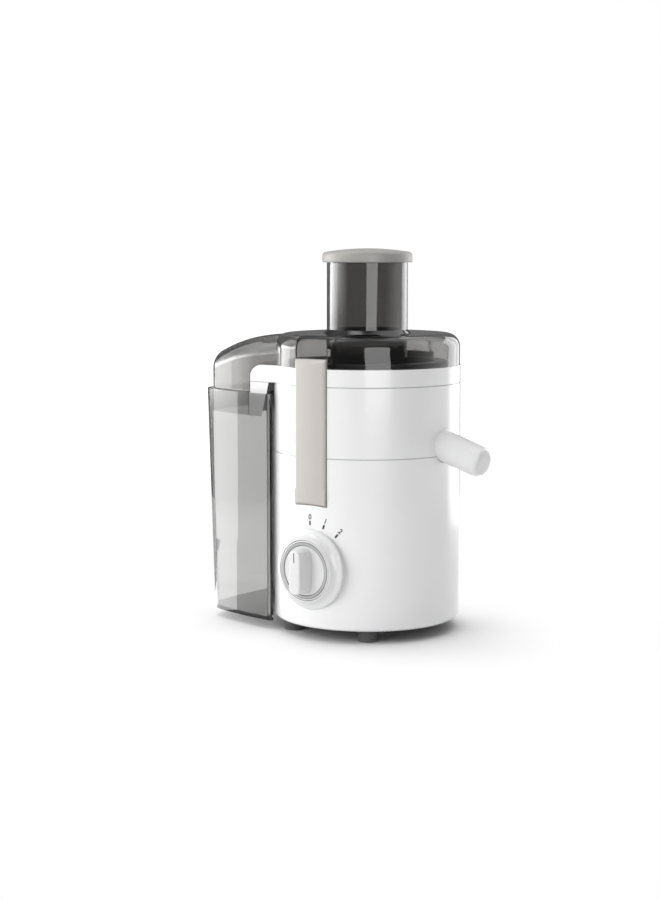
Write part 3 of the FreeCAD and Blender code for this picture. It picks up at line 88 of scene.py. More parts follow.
class JuicerSizes(bpy.types.PropertyGroup):
    """Sizes of the fine pieces."""

    lower_seam: FloatProperty(
        name="Lower Seam", description="Height of the seam between motor base and juice collector",
        default=0.178, unit="LENGTH")
    # half height of the painted shade line in each seam
    seam_width: FloatProperty(
        name="Seam Width", description="Half height of the soft line in each seam",
        default=0.0007, unit="LENGTH")
    mark_radius: FloatProperty(
        name="Tick Radius", description="Distance of the tick marks from the dial's centre",
        default=0.045, unit="LENGTH")
    digit_radius: FloatProperty(
        name="Digit Radius", description="Distance of the digits from the dial's centre",
        default=0.0508, unit="LENGTH")
    digit_size: FloatProperty(
        name="Digit Size", description="Type size of the digits", default=0.0070, unit="LENGTH")
    mark_step: FloatProperty(
        name="Mark Step", description="Angle from one dial mark to the next",
        default=math.radians(20), subtype="ANGLE")
    mark_proud: FloatProperty(
        name="Print Thickness", description="How far the printed marks stand proud",
        default=0.00006, unit="LENGTH")
    spout_slope: FloatProperty(
        name="Spout Slope", description="Fall of the spout below the horizontal",
        default=math.radians(17.5), subtype="ANGLE")
    spout_length: FloatProperty(
        name="Spout Length", description="Length of the spout outside the body",
        default=0.0475, unit="LENGTH")
    spout_root: FloatProperty(
        name="Spout Root", description="Radius of the spout at the body wall",
        default=0.0152, unit="LENGTH")
    spout_tip: FloatProperty(
        name="Spout Tip", description="Radius of the spout at its closed end",
        default=0.0144, unit="LENGTH")
    spout_height: FloatProperty(
        name="Spout Height", description="Height of the spout's axis at the body wall",
        default=0.1875, unit="LENGTH")


class JuicerFinishes(bpy.types.PropertyGroup):
    """Colours of the finishes."""

    white: FloatVectorProperty(
        name="White", description="Gloss white mouldings", subtype="COLOR",
        default=(0.84, 0.84, 0.845), min=0, max=1)
    proud_white: FloatVectorProperty(
        name="Proud White", description="Spout, dial cone and knob", subtype="COLOR",
        default=(0.72, 0.72, 0.725), min=0, max=1)
    warm_grey: FloatVectorProperty(
        name="Warm Grey", description="Latches", subtype="COLOR",
        default=(0.490, 0.463, 0.441), min=0, max=1)
    cap_grey: FloatVectorProperty(
        name="Cap Grey", description="Domed cap of the pusher", subtype="COLOR",
        default=(0.335, 0.322, 0.309), min=0, max=1)
    smoke: FloatVectorProperty(
        name="Smoke", description="Lid, chute and pusher cup", subtype="COLOR",
        default=(0.510, 0.504, 0.496), min=0, max=1)
    pale_smoke: FloatVectorProperty(
        name="Pale Smoke", description="Pulp bin", subtype="COLOR",
        default=(0.695, 0.693, 0.690), min=0, max=1)
    trim: FloatVectorProperty(
        name="Trim", description="Satin ring on the knob", subtype="COLOR",
        default=(0.56, 0.56, 0.56), min=0, max=1)
    rubber: FloatVectorProperty(
        name="Rubber", description="Feet, dampers, seal and gland", subtype="COLOR",
        default=(0.105, 0.105, 0.107), min=0, max=1)
    dark_moulding: FloatVectorProperty(
        name="Dark Moulding", description="Basket frame, fan, coupling and bottom cover", subtype="COLOR",
        default=(0.060, 0.060, 0.064), min=0, max=1)
    print_grey: FloatVectorProperty(
        name="Print Grey", description="Printed dial marks", subtype="COLOR",
        default=(0.030, 0.030, 0.032), min=0, max=1)


class JuicerStudio(bpy.types.PropertyGroup):
    """Camera and lights."""

    distance: FloatProperty(
        name="Distance", description="Level distance of the camera from the drive axis",
        default=1.7, unit="LENGTH")
    height: FloatProperty(
        name="Height", description="Height of the camera", default=0.3757, unit="LENGTH")
    azimuth: FloatProperty(
        name="Azimuth", description="Turn of the camera from the front towards the spout",
        default=math.radians(36), subtype="ANGLE")
    tilt: FloatProperty(
        name="Tilt", description="Fall of the camera's axis", default=math.radians(6.67), subtype="ANGLE")
    pan: FloatProperty(
        name="Pan", description="Turn of the camera's axis to the left of the drive axis",
        default=math.radians(1.24), subtype="ANGLE")
    lens: FloatProperty(
        name="Lens", description="Focal length in millimetres on a 36 mm long side", default=68.56)
    fill_power: FloatProperty(
        name="Fill", description="Power of the softbox left of the front", default=20.5, unit="POWER")
    strip_power: FloatProperty(
        name="Strip", description="Power of the tall softbox on the right", default=13.0, unit="POWER")
    card_power: FloatProperty(
        name="Card", description="Power of each bright card beside the juicer", default=2.4, unit="POWER")
    top_power: FloatProperty(
        name="Top", description="Power of the overhead softbox", default=11.0, unit="POWER")
    left_level: FloatProperty(
        name="Left Wall", description="Brightness of the room's left wall", default=1.85)
    mirror_level: FloatProperty(
        name="Left Mirror", description="Brightness of the left wall in glossy surfaces", default=5.0)
    mirror_low: FloatProperty(
        name="Low Mirror", description="Brightness of the foot of the left wall in glossy surfaces",
        default=1.1)
    mirror_strip: FloatProperty(
        name="Mirror Strip", description="Brightness of the strip on the left wall in glossy surfaces",
        default=3.4)
    mirror_right: FloatProperty(
        name="Right Mirror", description="Brightness of the right wall in glossy surfaces", default=1.8)
    mirror_front: FloatProperty(
        name="Front Mirror", description="Brightness of the rest of the room in glossy surfaces",
        default=0.18)
    mirror_top: FloatProperty(
        name="Top Mirror", description="Brightness of the ceiling in glossy surfaces", default=0.7)
    top_level: FloatProperty(name="Ceiling", description="Brightness of the room overhead", default=0.6)
    front_level: FloatProperty(name="Front", description="Brightness of the room in front", default=0.40)


def clear_selection():
    if bpy.context.object is not None and bpy.context.object.mode != "OBJECT":
        bpy.ops.object.mode_set(mode="OBJECT")
    bpy.ops.object.select_all(action="DESELECT")


def alone(piece):
    """Make one piece the only selected object."""
    clear_selection()
    piece.select_set(True)
    bpy.context.view_layer.objects.active = piece


def choose(piece, kind, test):
    """Select, in edit mode, the faces or edges of a piece that pass a test."""
    alone(piece)
    bpy.ops.object.mode_set(mode="EDIT")
    bpy.ops.mesh.select_mode(type={"faces": "FACE", "edges": "EDGE"}[kind])
    bpy.ops.mesh.select_all(action="DESELECT")
    mesh = bmesh.from_edit_mesh(piece.data)
    for item in getattr(mesh, kind):
        if test(item):
            item.select_set(True)
    bmesh.update_edit_mesh(piece.data)


def tidy_mesh(piece, gap=MERGE_GAP):
    """Merge doubled corners and turn all faces outwards."""
    alone(piece)
    bpy.ops.object.mode_set(mode="EDIT")
    bpy.ops.mesh.select_all(action="SELECT")
    bpy.ops.mesh.remove_doubles(threshold=gap)
    bpy.ops.mesh.normals_make_consistent(inside=False)
    bpy.ops.object.mode_set(mode="OBJECT")


def smooth(piece, degrees=32):
    """Shade a piece smooth, with the edges sharper than an angle left crisp."""
    alone(piece)
    bpy.ops.object.shade_smooth_by_angle(angle=math.radians(degrees))


def apply_modifier(piece, kind, **settings):
    """Add a modifier, set it and apply it."""
    alone(piece)
    modifier = piece.modifiers.new(kind.lower(), kind)
    for name, value in settings.items():
        setattr(modifier, name, value)
    bpy.ops.object.modifier_apply(modifier=modifier.name)


def put_at(piece, location, turn=(0, 0, 0)):
    """Turn and move a piece, then write its place into its mesh."""
    alone(piece)
    piece.location = location
    piece.rotation_euler = turn
    bpy.ops.object.transform_apply(location=True, rotation=True, scale=True)


def set_matrix(piece, matrix):
    """Place a piece by a matrix, then write its place into its mesh."""
    alone(piece)
    piece.matrix_world = matrix
    bpy.ops.object.transform_apply(location=True, rotation=True, scale=True)


def lathe(name, outline, segments):
    """Extrude a ring round an outline of (radius, height) corners; a zero radius closes an end."""
    corners = list(outline)
    first = corners.pop(0) if corners[0][0] == 0 else None
    radius, height = corners[0]
    clear_selection()
    bpy.ops.mesh.primitive_circle_add(vertices=segments, radius=radius, location=(0, 0, height))
    piece = bpy.context.object
    piece.name = name
    bpy.ops.object.transform_apply(location=True, rotation=True, scale=True)
    bpy.ops.object.mode_set(mode="EDIT")
    bpy.ops.mesh.select_mode(type="VERT")
    bpy.ops.mesh.select_all(action="SELECT")
    for next_radius, next_height in corners[1:]:
        rise = next_height - height
        bpy.ops.mesh.extrude_region_move(TRANSFORM_OT_translate={"value": (0, 0, rise)})
        if next_radius == 0:
            bpy.ops.mesh.merge(type="CENTER")
            break
        grow = next_radius / radius
        bpy.ops.transform.resize(value=(grow, grow, 1), center_override=(0, 0, next_height))
        radius, height = next_radius, next_height
    if first is not None:
        start_radius, start_height = corners[0]
        choose(piece, "edges", lambda edge: edge.is_boundary and all(
            abs(vert.co.z - start_height) < MERGE_GAP
            and abs(vert.co.xy.length - start_radius) < MERGE_GAP for vert in edge.verts))
        rise = first[1] - start_height
        bpy.ops.mesh.extrude_region_move(TRANSFORM_OT_translate={"value": (0, 0, rise)})
        bpy.ops.mesh.merge(type="CENTER")
    tidy_mesh(piece)
    return piece


def drum(name, radius, low, high, segments):
    """A closed cylinder on the Z axis."""
    return lathe(name, [(0, low), (radius, low), (radius, high), (0, high)], segments)


def box_piece(name, low, high):
    """A cube brought to its size between two corners."""
    clear_selection()
    low, high = Vector(low), Vector(high)
    bpy.ops.mesh.primitive_cube_add(size=1, location=(low + high) / 2)
    piece = bpy.context.object
    piece.name = name
    piece.scale = high - low
    bpy.ops.object.transform_apply(location=True, rotation=True, scale=True)
    return piece


def run_of(edge):
    """How far an edge runs along each axis."""
    first, second = edge.verts
    return Vector([abs(part) for part in first.co - second.co])


def bevel_edges(piece, test, width, segments):
    choose(piece, "edges", test)
    bpy.ops.mesh.bevel(offset=width, segments=segments, profile=0.5, affect="EDGES")
    bpy.ops.object.mode_set(mode="OBJECT")


def cut_away(piece, tool, operation="DIFFERENCE"):
    """Cut one mesh with another and remove the tool."""
    apply_modifier(piece, "BOOLEAN", object=tool, operation=operation, solver="EXACT")
    bpy.data.objects.remove(tool)


def join_to(piece, other):
    """Make one mesh of two pieces."""
    alone(piece)
    other.select_set(True)
    bpy.ops.object.join()


def at_corners(first, stem):
    """A piece and three copies of it, each with the sides of its corner."""
    pieces = [first]
    for index in range(1, len(CORNERS)):
        copy = first.copy()
        copy.data = first.data.copy()
        copy.name = f"{stem}_{index}"
        bpy.context.scene.collection.objects.link(copy)
        pieces.append(copy)
    return zip(pieces, CORNERS)


def moulded_copy(node, name):
    """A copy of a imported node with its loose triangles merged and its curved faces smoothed."""
    piece = bpy.data.objects.new(name, NODES[node].data.copy())
    bpy.context.scene.collection.objects.link(piece)
    alone(piece)
    bpy.ops.mesh.customdata_custom_splitnormals_clear()
    bpy.ops.object.mode_set(mode="EDIT")
    bpy.ops.mesh.select_all(action="SELECT")
    bpy.ops.mesh.remove_doubles(threshold=2 * MERGE_GAP)
    bpy.ops.object.mode_set(mode="OBJECT")
    smooth(piece)
    apply_modifier(piece, "WEIGHTED_NORMAL", keep_sharp=True)
    return piece


def settle(piece, body, finish, slot, *nodes):
    """Give a finished piece its finish, its body and the nodes it stands for."""
    piece.data.materials.clear()
    piece.data.materials.append(finish)
    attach(piece, body)
    if nodes:
        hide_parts(*nodes)


def fill(tree, item, inputs):
    """Give a shader node its inputs, each a plain value or the socket that feeds it."""
    for name, value in inputs.items():
        if isinstance(value, bpy.types.NodeSocket):
            tree.links.new(value, item.inputs[name])
        else:
            item.inputs[name].default_value = value


def put(tree, kind, inputs=None, **settings):
    """Add a shader node with its settings and inputs."""
    item = tree.nodes.new(f"ShaderNode{kind}")
    for name, value in settings.items():
        setattr(item, name, value)
    fill(tree, item, inputs or {})
    return item


def calculate(tree, operation, first, second=0.0, third=0.0):
    """One Math node."""
    return put(tree, "Math", {0: first, 1: second, 2: third}, operation=operation).outputs[0]


def hypotenuse(tree, first, second):
    """The long side of a right triangle with these two short sides."""
    square = calculate(tree, "MULTIPLY_ADD", second, second, calculate(tree, "MULTIPLY", first, first))
    return calculate(tree, "SQRT", square)


def blend_colours(tree, share, first, second):
    return put(tree, "Mix", {0: share, 6: first, 7: second}, data_type="RGBA").outputs[2]


def ramp(tree, value, start, end, low, high):
    """A soft step from low to high while a value goes from start to end."""
    inputs = {"Value": value, "From Min": start, "From Max": end, "To Min": low, "To Max": high}
    return put(tree, "MapRange", inputs, interpolation_type="SMOOTHSTEP").outputs[0]


def sweep(tree, turn, start, end, low, high):
    """A ramp between two directions, in degrees from the front towards the right."""
    return ramp(tree, turn, math.radians(start), math.radians(end), low, high)


def new_group(name, inputs, outputs):
    """A shader node group with named sockets, and the sockets at its two ends."""
    tree = bpy.data.node_groups.new(name, "ShaderNodeTree")
    for label, kind, default in inputs:
        socket = tree.interface.new_socket(label, in_out="INPUT", socket_type=f"NodeSocket{kind}")
        socket.default_value = default
    for label, kind in outputs:
        tree.interface.new_socket(label, in_out="OUTPUT", socket_type=f"NodeSocket{kind}")
    return tree, tree.nodes.new("NodeGroupInput").outputs, tree.nodes.new("NodeGroupOutput").inputs


def use_group(tree, name, inputs):
    """Place a node group in a material with its own values."""
    return put(tree, "Group", inputs, node_tree=bpy.data.node_groups[name]).outputs


def object_place(tree):
    return put(tree, "TexCoord").outputs["Object"]


def make_moulded_skin():
    """Cloudy tone, handling smudges and the fine grain of a moulded surface."""
    tree, given, made = new_group(
        "moulded_skin",
        [("Colour", "Color", (0.8, 0.8, 0.8, 1)), ("Mottle", "Float", 0.03), ("Roughness", "Float", 0.3),
         ("Smudge", "Float", 0.06), ("Grain", "Float", 900.0)],
        [("Colour", "Color"), ("Roughness", "Float"), ("Height", "Float")])
    place = object_place(tree)
    cloud = put(tree, "TexNoise", {"Vector": place, "Scale": 22.0, "Detail": 3.0}).outputs["Fac"]
    shade = calculate(tree, "SUBTRACT", 1.0, calculate(tree, "MULTIPLY", cloud, given["Mottle"]))
    toned = put(tree, "VectorMath", {0: given["Colour"], "Scale": shade}, operation="SCALE")
    smear = put(tree, "TexNoise", {"Vector": place, "Scale": 75.0, "Detail": 5.0}).outputs["Fac"]
    spread = calculate(tree, "SUBTRACT", smear, 0.5)
    rough = calculate(tree, "MULTIPLY_ADD", spread, given["Smudge"], given["Roughness"])
    grain = put(tree, "TexNoise", {"Vector": place, "Scale": given["Grain"], "Detail": 2.0}).outputs["Fac"]
    tree.links.new(toned.outputs["Vector"], made["Colour"])
    tree.links.new(rough, made["Roughness"])
    tree.links.new(grain, made["Height"])


def make_seam_line():
    """A soft mask that is 1 at one height and falls to 0 a little above and below it, for painted shade
    along a seam.
    """
    tree, given, made = new_group(
        "seam_line", [("Level", "Float", 0.1), ("Half Width", "Float", 0.001)], [("Mask", "Float")])
    height = put(tree, "SeparateXYZ", {0: object_place(tree)}).outputs["Z"]
    away = calculate(tree, "ABSOLUTE", calculate(tree, "SUBTRACT", height, given["Level"]))
    tree.links.new(ramp(tree, away, 0.0, given["Half Width"], 1.0, 0.0), made["Mask"])


def make_turned_lines():
    """Fine rings round an axis, as a lathe or a brushing wheel leaves them."""
    tree, given, made = new_group(
        "turned_lines", [("Place", "Vector", (0, 0, 0)), ("Rings", "Float", 6000.0)],
        [("Height", "Float"), ("Tone", "Float")])
    part = put(tree, "SeparateXYZ", {0: given["Place"]}).outputs
    radius = hypotenuse(tree, part["X"], part["Y"])
    wobble = put(tree, "TexNoise", {"Vector": given["Place"], "Scale": 160.0}).outputs["Fac"]
    shift = calculate(tree, "MULTIPLY", wobble, 6.0)
    phase = calculate(tree, "MULTIPLY_ADD", radius, given["Rings"], shift)
    wave = calculate(tree, "SINE", phase)
    tree.links.new(wave, made["Height"])
    tree.links.new(calculate(tree, "MULTIPLY_ADD", wave, 0.5, 0.5), made["Tone"])


def make_knurled_edge():
    """A mask for painted shade, strong at the two edges of a flat ring, broken into teeth."""
    tree, given, made = new_group(
        "knurled_edge",
        [("Place", "Vector", (0, 0, 0)), ("Middle", "Float", 0.026), ("Half Width", "Float", 0.002),
         ("Teeth", "Float", 75.0)], [("Mask", "Float")])
    part = put(tree, "SeparateXYZ", {0: given["Place"]}).outputs
    radius = hypotenuse(tree, part["X"], part["Y"])
    away = calculate(tree, "ABSOLUTE", calculate(tree, "SUBTRACT", radius, given["Middle"]))
    share = calculate(tree, "DIVIDE", away, given["Half Width"])
    edge = ramp(tree, share, 0.45, 0.75, 0.0, 1.0)
    turn = calculate(tree, "MULTIPLY", calculate(tree, "ARCTAN2", part["Y"], part["X"]), given["Teeth"])
    tooth = calculate(tree, "MULTIPLY_ADD", calculate(tree, "SINE", turn), 0.3, 0.7)
    tree.links.new(calculate(tree, "MULTIPLY", edge, tooth), made["Mask"])


def make_brushed_lines():
    """Short streaks along one direction of a brushed metal."""
    tree, given, made = new_group(
        "brushed_lines", [("Stretch", "Vector", (40, 40, 1200))], [("Height", "Float"), ("Tone", "Float")])
    place = put(tree, "VectorMath", {0: object_place(tree), 1: given["Stretch"]}, operation="MULTIPLY")
    streak = put(tree, "TexNoise", {"Vector": place.outputs[0], "Scale": 1.0, "Detail": 4.0}).outputs["Fac"]
    tree.links.new(streak, made["Height"])
    tree.links.new(streak, made["Tone"])


def make_round_holes():
    """Staggered rows of fine round perforations round the drive axis."""
    tree, given, made = new_group(
        "round_holes", [("Count", "Float", 150.0), ("Pitch", "Float", 0.0024)], [("Mask", "Float")])
    part = put(tree, "SeparateXYZ", {0: object_place(tree)}).outputs
    row = calculate(tree, "DIVIDE", part["Z"], given["Pitch"])
    odd = calculate(tree, "MULTIPLY", calculate(tree, "MODULO", calculate(tree, "FLOOR", row), 2.0), 0.5)
    turn = calculate(tree, "DIVIDE", calculate(tree, "ARCTAN2", part["Y"], part["X"]), 2 * math.pi)
    column = calculate(tree, "MULTIPLY_ADD", turn, given["Count"], odd)
    across = calculate(tree, "SUBTRACT", calculate(tree, "FRACT", column), 0.5)
    along = calculate(tree, "SUBTRACT", calculate(tree, "FRACT", row), 0.5)
    away = hypotenuse(tree, along, across)
    inputs = {"Value": away, "From Min": 0.24, "From Max": 0.32, "To Min": 1.0, "To Max": 0.0}
    tree.links.new(put(tree, "MapRange", inputs).outputs[0], made["Mask"])


def new_finish(name):
    """Add a material, and give its tree and its main shader."""
    finish = bpy.data.materials.new(name)
    finish.use_nodes = True
    return finish.node_tree, finish.node_tree.nodes["Principled BSDF"]


def feed(tree, shader, **inputs):
    """Set or link sockets of a shader; the names use _ for a space."""
    fill(tree, shader, {label.replace("_", " "): value for label, value in inputs.items()})


def bumped(tree, height, strength, distance):
    inputs = {"Height": height, "Strength": strength, "Distance": distance}
    return put(tree, "Bump", inputs).outputs["Normal"]


def show(tree, share, first, second):
    """Let a material show a mix of two shaders."""
    mix = put(tree, "MixShader", {0: share, 1: first.outputs[0], 2: second.outputs[0]})
    tree.links.new(mix.outputs[0], tree.nodes["Material Output"].inputs["Surface"])


def opaque(colour):
    return (*colour, 1.0)


def make_moulding(name, colour, mottle, roughness, smudge, grain, strength, depth):
    """A moulded plastic or rubber of one colour."""
    tree, shader = new_finish(name)
    skin = use_group(tree, "moulded_skin", {
        "Colour": opaque(colour), "Mottle": mottle, "Roughness": roughness, "Smudge": smudge,
        "Grain": grain})
    feed(tree, shader, Base_Color=skin["Colour"], Roughness=skin["Roughness"],
         Normal=bumped(tree, skin["Height"], strength, depth))


def white_skin(tree, colour, roughness):
    """The skin that the white mouldings share."""
    return use_group(tree, "moulded_skin", {
        "Colour": opaque(colour), "Mottle": 0.03, "Roughness": roughness, "Smudge": 0.10, "Grain": 420.0})


def feed_gloss(tree, shader, colour, skin):
    """A thin clear coat over a moulded colour."""
    feed(tree, shader, Base_Color=colour, Roughness=skin["Roughness"], Coat_Weight=0.25,
         Coat_Roughness=0.06, Normal=bumped(tree, skin["Height"], 0.05, 0.04 * MM))


def make_gloss_white(sizes, colours):
    """White moulding with painted shade, a soft grey line, in each seam of the round body."""
    tree, shader = new_finish("gloss_white")
    skin = white_skin(tree, colours.white, 0.24)
    lower = use_group(tree, "seam_line", {"Level": sizes.lower_seam, "Half Width": sizes.seam_width})
    upper = use_group(tree, "seam_line", {"Level": UPPER_SEAM, "Half Width": sizes.seam_width})
    painted_seam_shade = calculate(tree, "MULTIPLY", calculate(tree, "MAXIMUM", lower["Mask"], upper["Mask"]), 0.75)
    # painted shade: a grey line at each seam height, where the gap between the parts falls in shadow
    colour = blend_colours(tree, painted_seam_shade, skin["Colour"], (0.22, 0.22, 0.225, 1))
    feed_gloss(tree, shader, colour, skin)


def make_plain_white(colours):
    """White moulding of the pieces that stand proud of the body."""
    tree, shader = new_finish("plain_white")
    skin = white_skin(tree, colours.proud_white, 0.26)
    feed_gloss(tree, shader, skin["Colour"], skin)


def make_smoke(name, colour, roughness):
    """Clear tinted plastic, darker where a wall is seen edge on, that lets the lamps through."""
    tree, shader = new_finish(name)
    skin = use_group(tree, "moulded_skin", {
        "Colour": opaque(colour), "Mottle": 0.03, "Roughness": roughness, "Smudge": 0.02, "Grain": 260.0})
    facing = put(tree, "LayerWeight", {"Blend": 0.5}).outputs["Facing"]
    edge_on = ramp(tree, facing, 0.42, 0.72, 0.0, 1.0)
    tint = blend_colours(tree, edge_on, skin["Colour"], opaque([0.06 * part for part in colour]))
    feed(tree, shader, Base_Color=tint, Roughness=skin["Roughness"], IOR=1.5, Transmission_Weight=1.0,
         Normal=bumped(tree, skin["Height"], 0.01, 0.001 * MM))
    clear = put(tree, "BsdfTransparent", {"Color": opaque([math.sqrt(part) for part in colour])})
    show(tree, put(tree, "LightPath").outputs["Is Shadow Ray"], shader, clear)


def make_satin_ring(colours):
    """Satin trim with fine rings round the dial's axis and painted shade at its two edges, broken into
    teeth like knurling.
    """
    tree, shader = new_finish("satin_trim")
    place = put(tree, "Mapping", {"Vector": object_place(tree), "Location": tuple(-DIAL_CENTRE)})
    turned = put(tree, "Mapping", {"Vector": place.outputs[0], "Rotation": FRONT_TURN})
    lines = use_group(tree, "turned_lines", {"Place": turned.outputs[0], "Rings": 9000.0})
    knurl_shade = use_group(tree, "knurled_edge", {
        "Place": turned.outputs[0], "Middle": RING_HIGH.x - RING_WIDTH / 2, "Half Width": RING_WIDTH / 2,
        "Teeth": 75.0})
    groove = opaque([0.8 * part for part in colours.trim])
    # painted shade: the ring's two edges darkened where it sits in its groove
    dark = opaque([0.15 * part for part in colours.trim])
    satin = blend_colours(tree, lines["Tone"], opaque(colours.trim), groove)
    colour = blend_colours(tree, knurl_shade["Mask"], satin, dark)
    feed(tree, shader, Base_Color=colour, Metallic=0.2, Roughness=0.34,
         Normal=bumped(tree, lines["Height"], 0.15, 0.03 * MM))


def make_metal(name, colour, stretch, roughness, strength):
    """Brushed or drawn metal."""
    tree, shader = new_finish(name)
    streaks = use_group(tree, "brushed_lines", {"Stretch": stretch})
    dark = [0.72 * part for part in colour]
    tone = blend_colours(tree, streaks["Tone"], opaque(dark), opaque(colour))
    rough = calculate(tree, "MULTIPLY_ADD", streaks["Tone"], 0.16, roughness)
    feed(tree, shader, Base_Color=tone, Metallic=1.0, Roughness=rough,
         Normal=bumped(tree, streaks["Height"], strength, 0.05 * MM))


def make_perforated_steel():
    """Sieve steel with fine perforations between the punched holes."""
    tree, shader = new_finish("perforated_steel")
    holes = use_group(tree, "round_holes", {"Count": 170.0, "Pitch": 2.3 * MM})
    streaks = use_group(tree, "brushed_lines", {"Stretch": (60, 60, 900)})
    steel = blend_colours(tree, streaks["Tone"], (0.46, 0.46, 0.47, 1), (0.66, 0.66, 0.67, 1))
    colour = blend_colours(tree, holes["Mask"], steel, (0.03, 0.03, 0.03, 1))
    sunk = calculate(tree, "SUBTRACT", 1.0, holes["Mask"])
    feed(tree, shader, Base_Color=colour, Metallic=1.0, Roughness=0.3,
         Normal=bumped(tree, sunk, 0.5, 0.3 * MM))


def make_wound_copper():
    """Enamelled wire laid in close turns."""
    tree, shader = new_finish("wound_copper")
    turns = {"Vector": object_place(tree), "Scale": 420.0, "Distortion": 1.5, "Detail": 1.0}
    wire = put(tree, "TexWave", turns, bands_direction="DIAGONAL").outputs["Fac"]
    colour = blend_colours(tree, wire, (0.20, 0.07, 0.025, 1), (0.62, 0.27, 0.11, 1))
    feed(tree, shader, Base_Color=colour, Metallic=0.8, Roughness=0.32,
         Normal=bumped(tree, wire, 0.6, 0.3 * MM))


def make_iron_stack():
    """Thin laminations pressed into a stack."""
    tree, shader = new_finish("iron_stack")
    stack = {"Vector": object_place(tree), "Scale": 320.0, "Distortion": 0.2}
    sheet = put(tree, "TexWave", stack, bands_direction="Z").outputs["Fac"]
    colour = blend_colours(tree, sheet, (0.09, 0.09, 0.10, 1), (0.26, 0.26, 0.27, 1))
    feed(tree, shader, Base_Color=colour, Metallic=0.9, Roughness=0.5,
         Normal=bumped(tree, sheet, 0.5, 0.2 * MM))


def make_finishes(sizes, colours):
    """Build the shared groups, then every finish of the juicer."""
    make_moulded_skin()
    make_seam_line()
    make_turned_lines()
    make_knurled_edge()
    make_brushed_lines()
    make_round_holes()
    make_gloss_white(sizes, colours)
    make_plain_white(colours)
    make_moulding("warm_grey", colours.warm_grey, 0.04, 0.42, 0.12, 1400.0, 0.08, 0.06 * MM)
    make_moulding("cap_grey", colours.cap_grey, 0.04, 0.44, 0.12, 1400.0, 0.08, 0.06 * MM)
    make_moulding("soft_rubber", colours.rubber, 0.15, 0.72, 0.10, 900.0, 0.35, 0.12 * MM)
    make_moulding("dark_moulding", colours.dark_moulding, 0.10, 0.38, 0.12, 1100.0, 0.2, 0.06 * MM)
    make_moulding("printed_ink", colours.print_grey, 0.20, 0.50, 0.10, 2400.0, 0.1, 0.02 * MM)
    make_moulding("pressed_carbon", (0.03, 0.03, 0.032), 0.30, 0.60, 0.15, 2200.0, 0.3, 0.05 * MM)
    make_smoke("dark_smoke", colours.smoke, 0.035)
    make_smoke("light_smoke", colours.pale_smoke, 0.04)
    make_satin_ring(colours)
    make_metal("brushed_steel", (0.62, 0.62, 0.63), (60, 60, 1400), 0.22, 0.12)
    make_metal("blackened_steel", (0.09, 0.09, 0.095), (400, 400, 400), 0.38, 0.15)
    make_metal("cast_alloy", (0.52, 0.52, 0.53), (600, 600, 600), 0.42, 0.3)
    make_perforated_steel()
    make_wound_copper()
    make_iron_stack()


SLOT_FINISH = {
    "white_plastic": "gloss_white", "grey_plastic": "warm_grey", "smoke_clear": "dark_smoke",
    "smoke_light": "light_smoke", "satin_ring": "satin_trim", "dark_rubber": "soft_rubber",
    "inner_plastic": "dark_moulding", "steel": "brushed_steel", "lamination": "iron_stack",
    "copper": "wound_copper", "alloy": "cast_alloy", "carbon": "pressed_carbon",
}


def finish_of(node):
    return bpy.data.materials[SLOT_FINISH[SLOT_OF[node]]]


def repaint(node, finish=None):
    """Give a carried-over node its finish."""
    item = NODES[node]
    if not item.material_slots:
        item.data.materials.append(None)
    for slot in item.material_slots:
        slot.material = finish or finish_of(node)


def stand_in(piece, body, node, finish=None):
    """Settle a piece in the place of its node."""
    settle(piece, body, bpy.data.materials[finish] if finish else finish_of(node), SLOT_OF[node], node)


def shell(node, name, body):
    """Put a smoothed copy of a moulded shell in its node's place."""
    stand_in(moulded_copy(node, name), body, node)


def lay_on_wall(piece, angle, radius):
    """Lay a flat mark on the round wall above the dial, upright along its own radius."""
    turn = radius * math.sin(angle) / BODY_RADIUS
    height = DIAL_CENTRE.z + radius * math.cos(angle)
    stand = Matrix.Translation((0, -BODY_RADIUS, height)) @ Matrix.Rotation(angle, 4, "Y")
    set_matrix(piece, Matrix.Rotation(turn, 4, "Z") @ stand)


class JUICER_OT_finishes(bpy.types.Operator):
    """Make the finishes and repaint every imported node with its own"""

    bl_idname = "juicer.finishes"
    bl_label = "Finishes"

    def execute(self, context):
        make_finishes(context.scene.juicer_sizes, context.scene.juicer_finishes)
        for node in NODES:
            repaint(node)
        repaint("filter_mesh", bpy.data.materials["perforated_steel"])
        return {"FINISHED"}


class JUICER_OT_shells(bpy.types.Operator):
    """Smooth the moulded shells of base, collector, guide, lid, bin and latches"""

    bl_idname = "juicer.shells"
    bl_label = "Moulded Shells"

    def execute(self, context):
        shell("base_housing", "motor_base_shell", "base")
        shell("juice_collector", "collector_bowl", "base")
        shell("pulp_guide", "pulp_guide_ring", "base")
        shell("lid", "smoke_lid", "base")
        shell("pulp_bin", "pulp_bin_shell", "bin")
        shell("front_latch", "front_latch_bar", "front_latch_lever")
        shell("rear_latch", "rear_latch_bar", "rear_latch_lever")
        return {"FINISHED"}


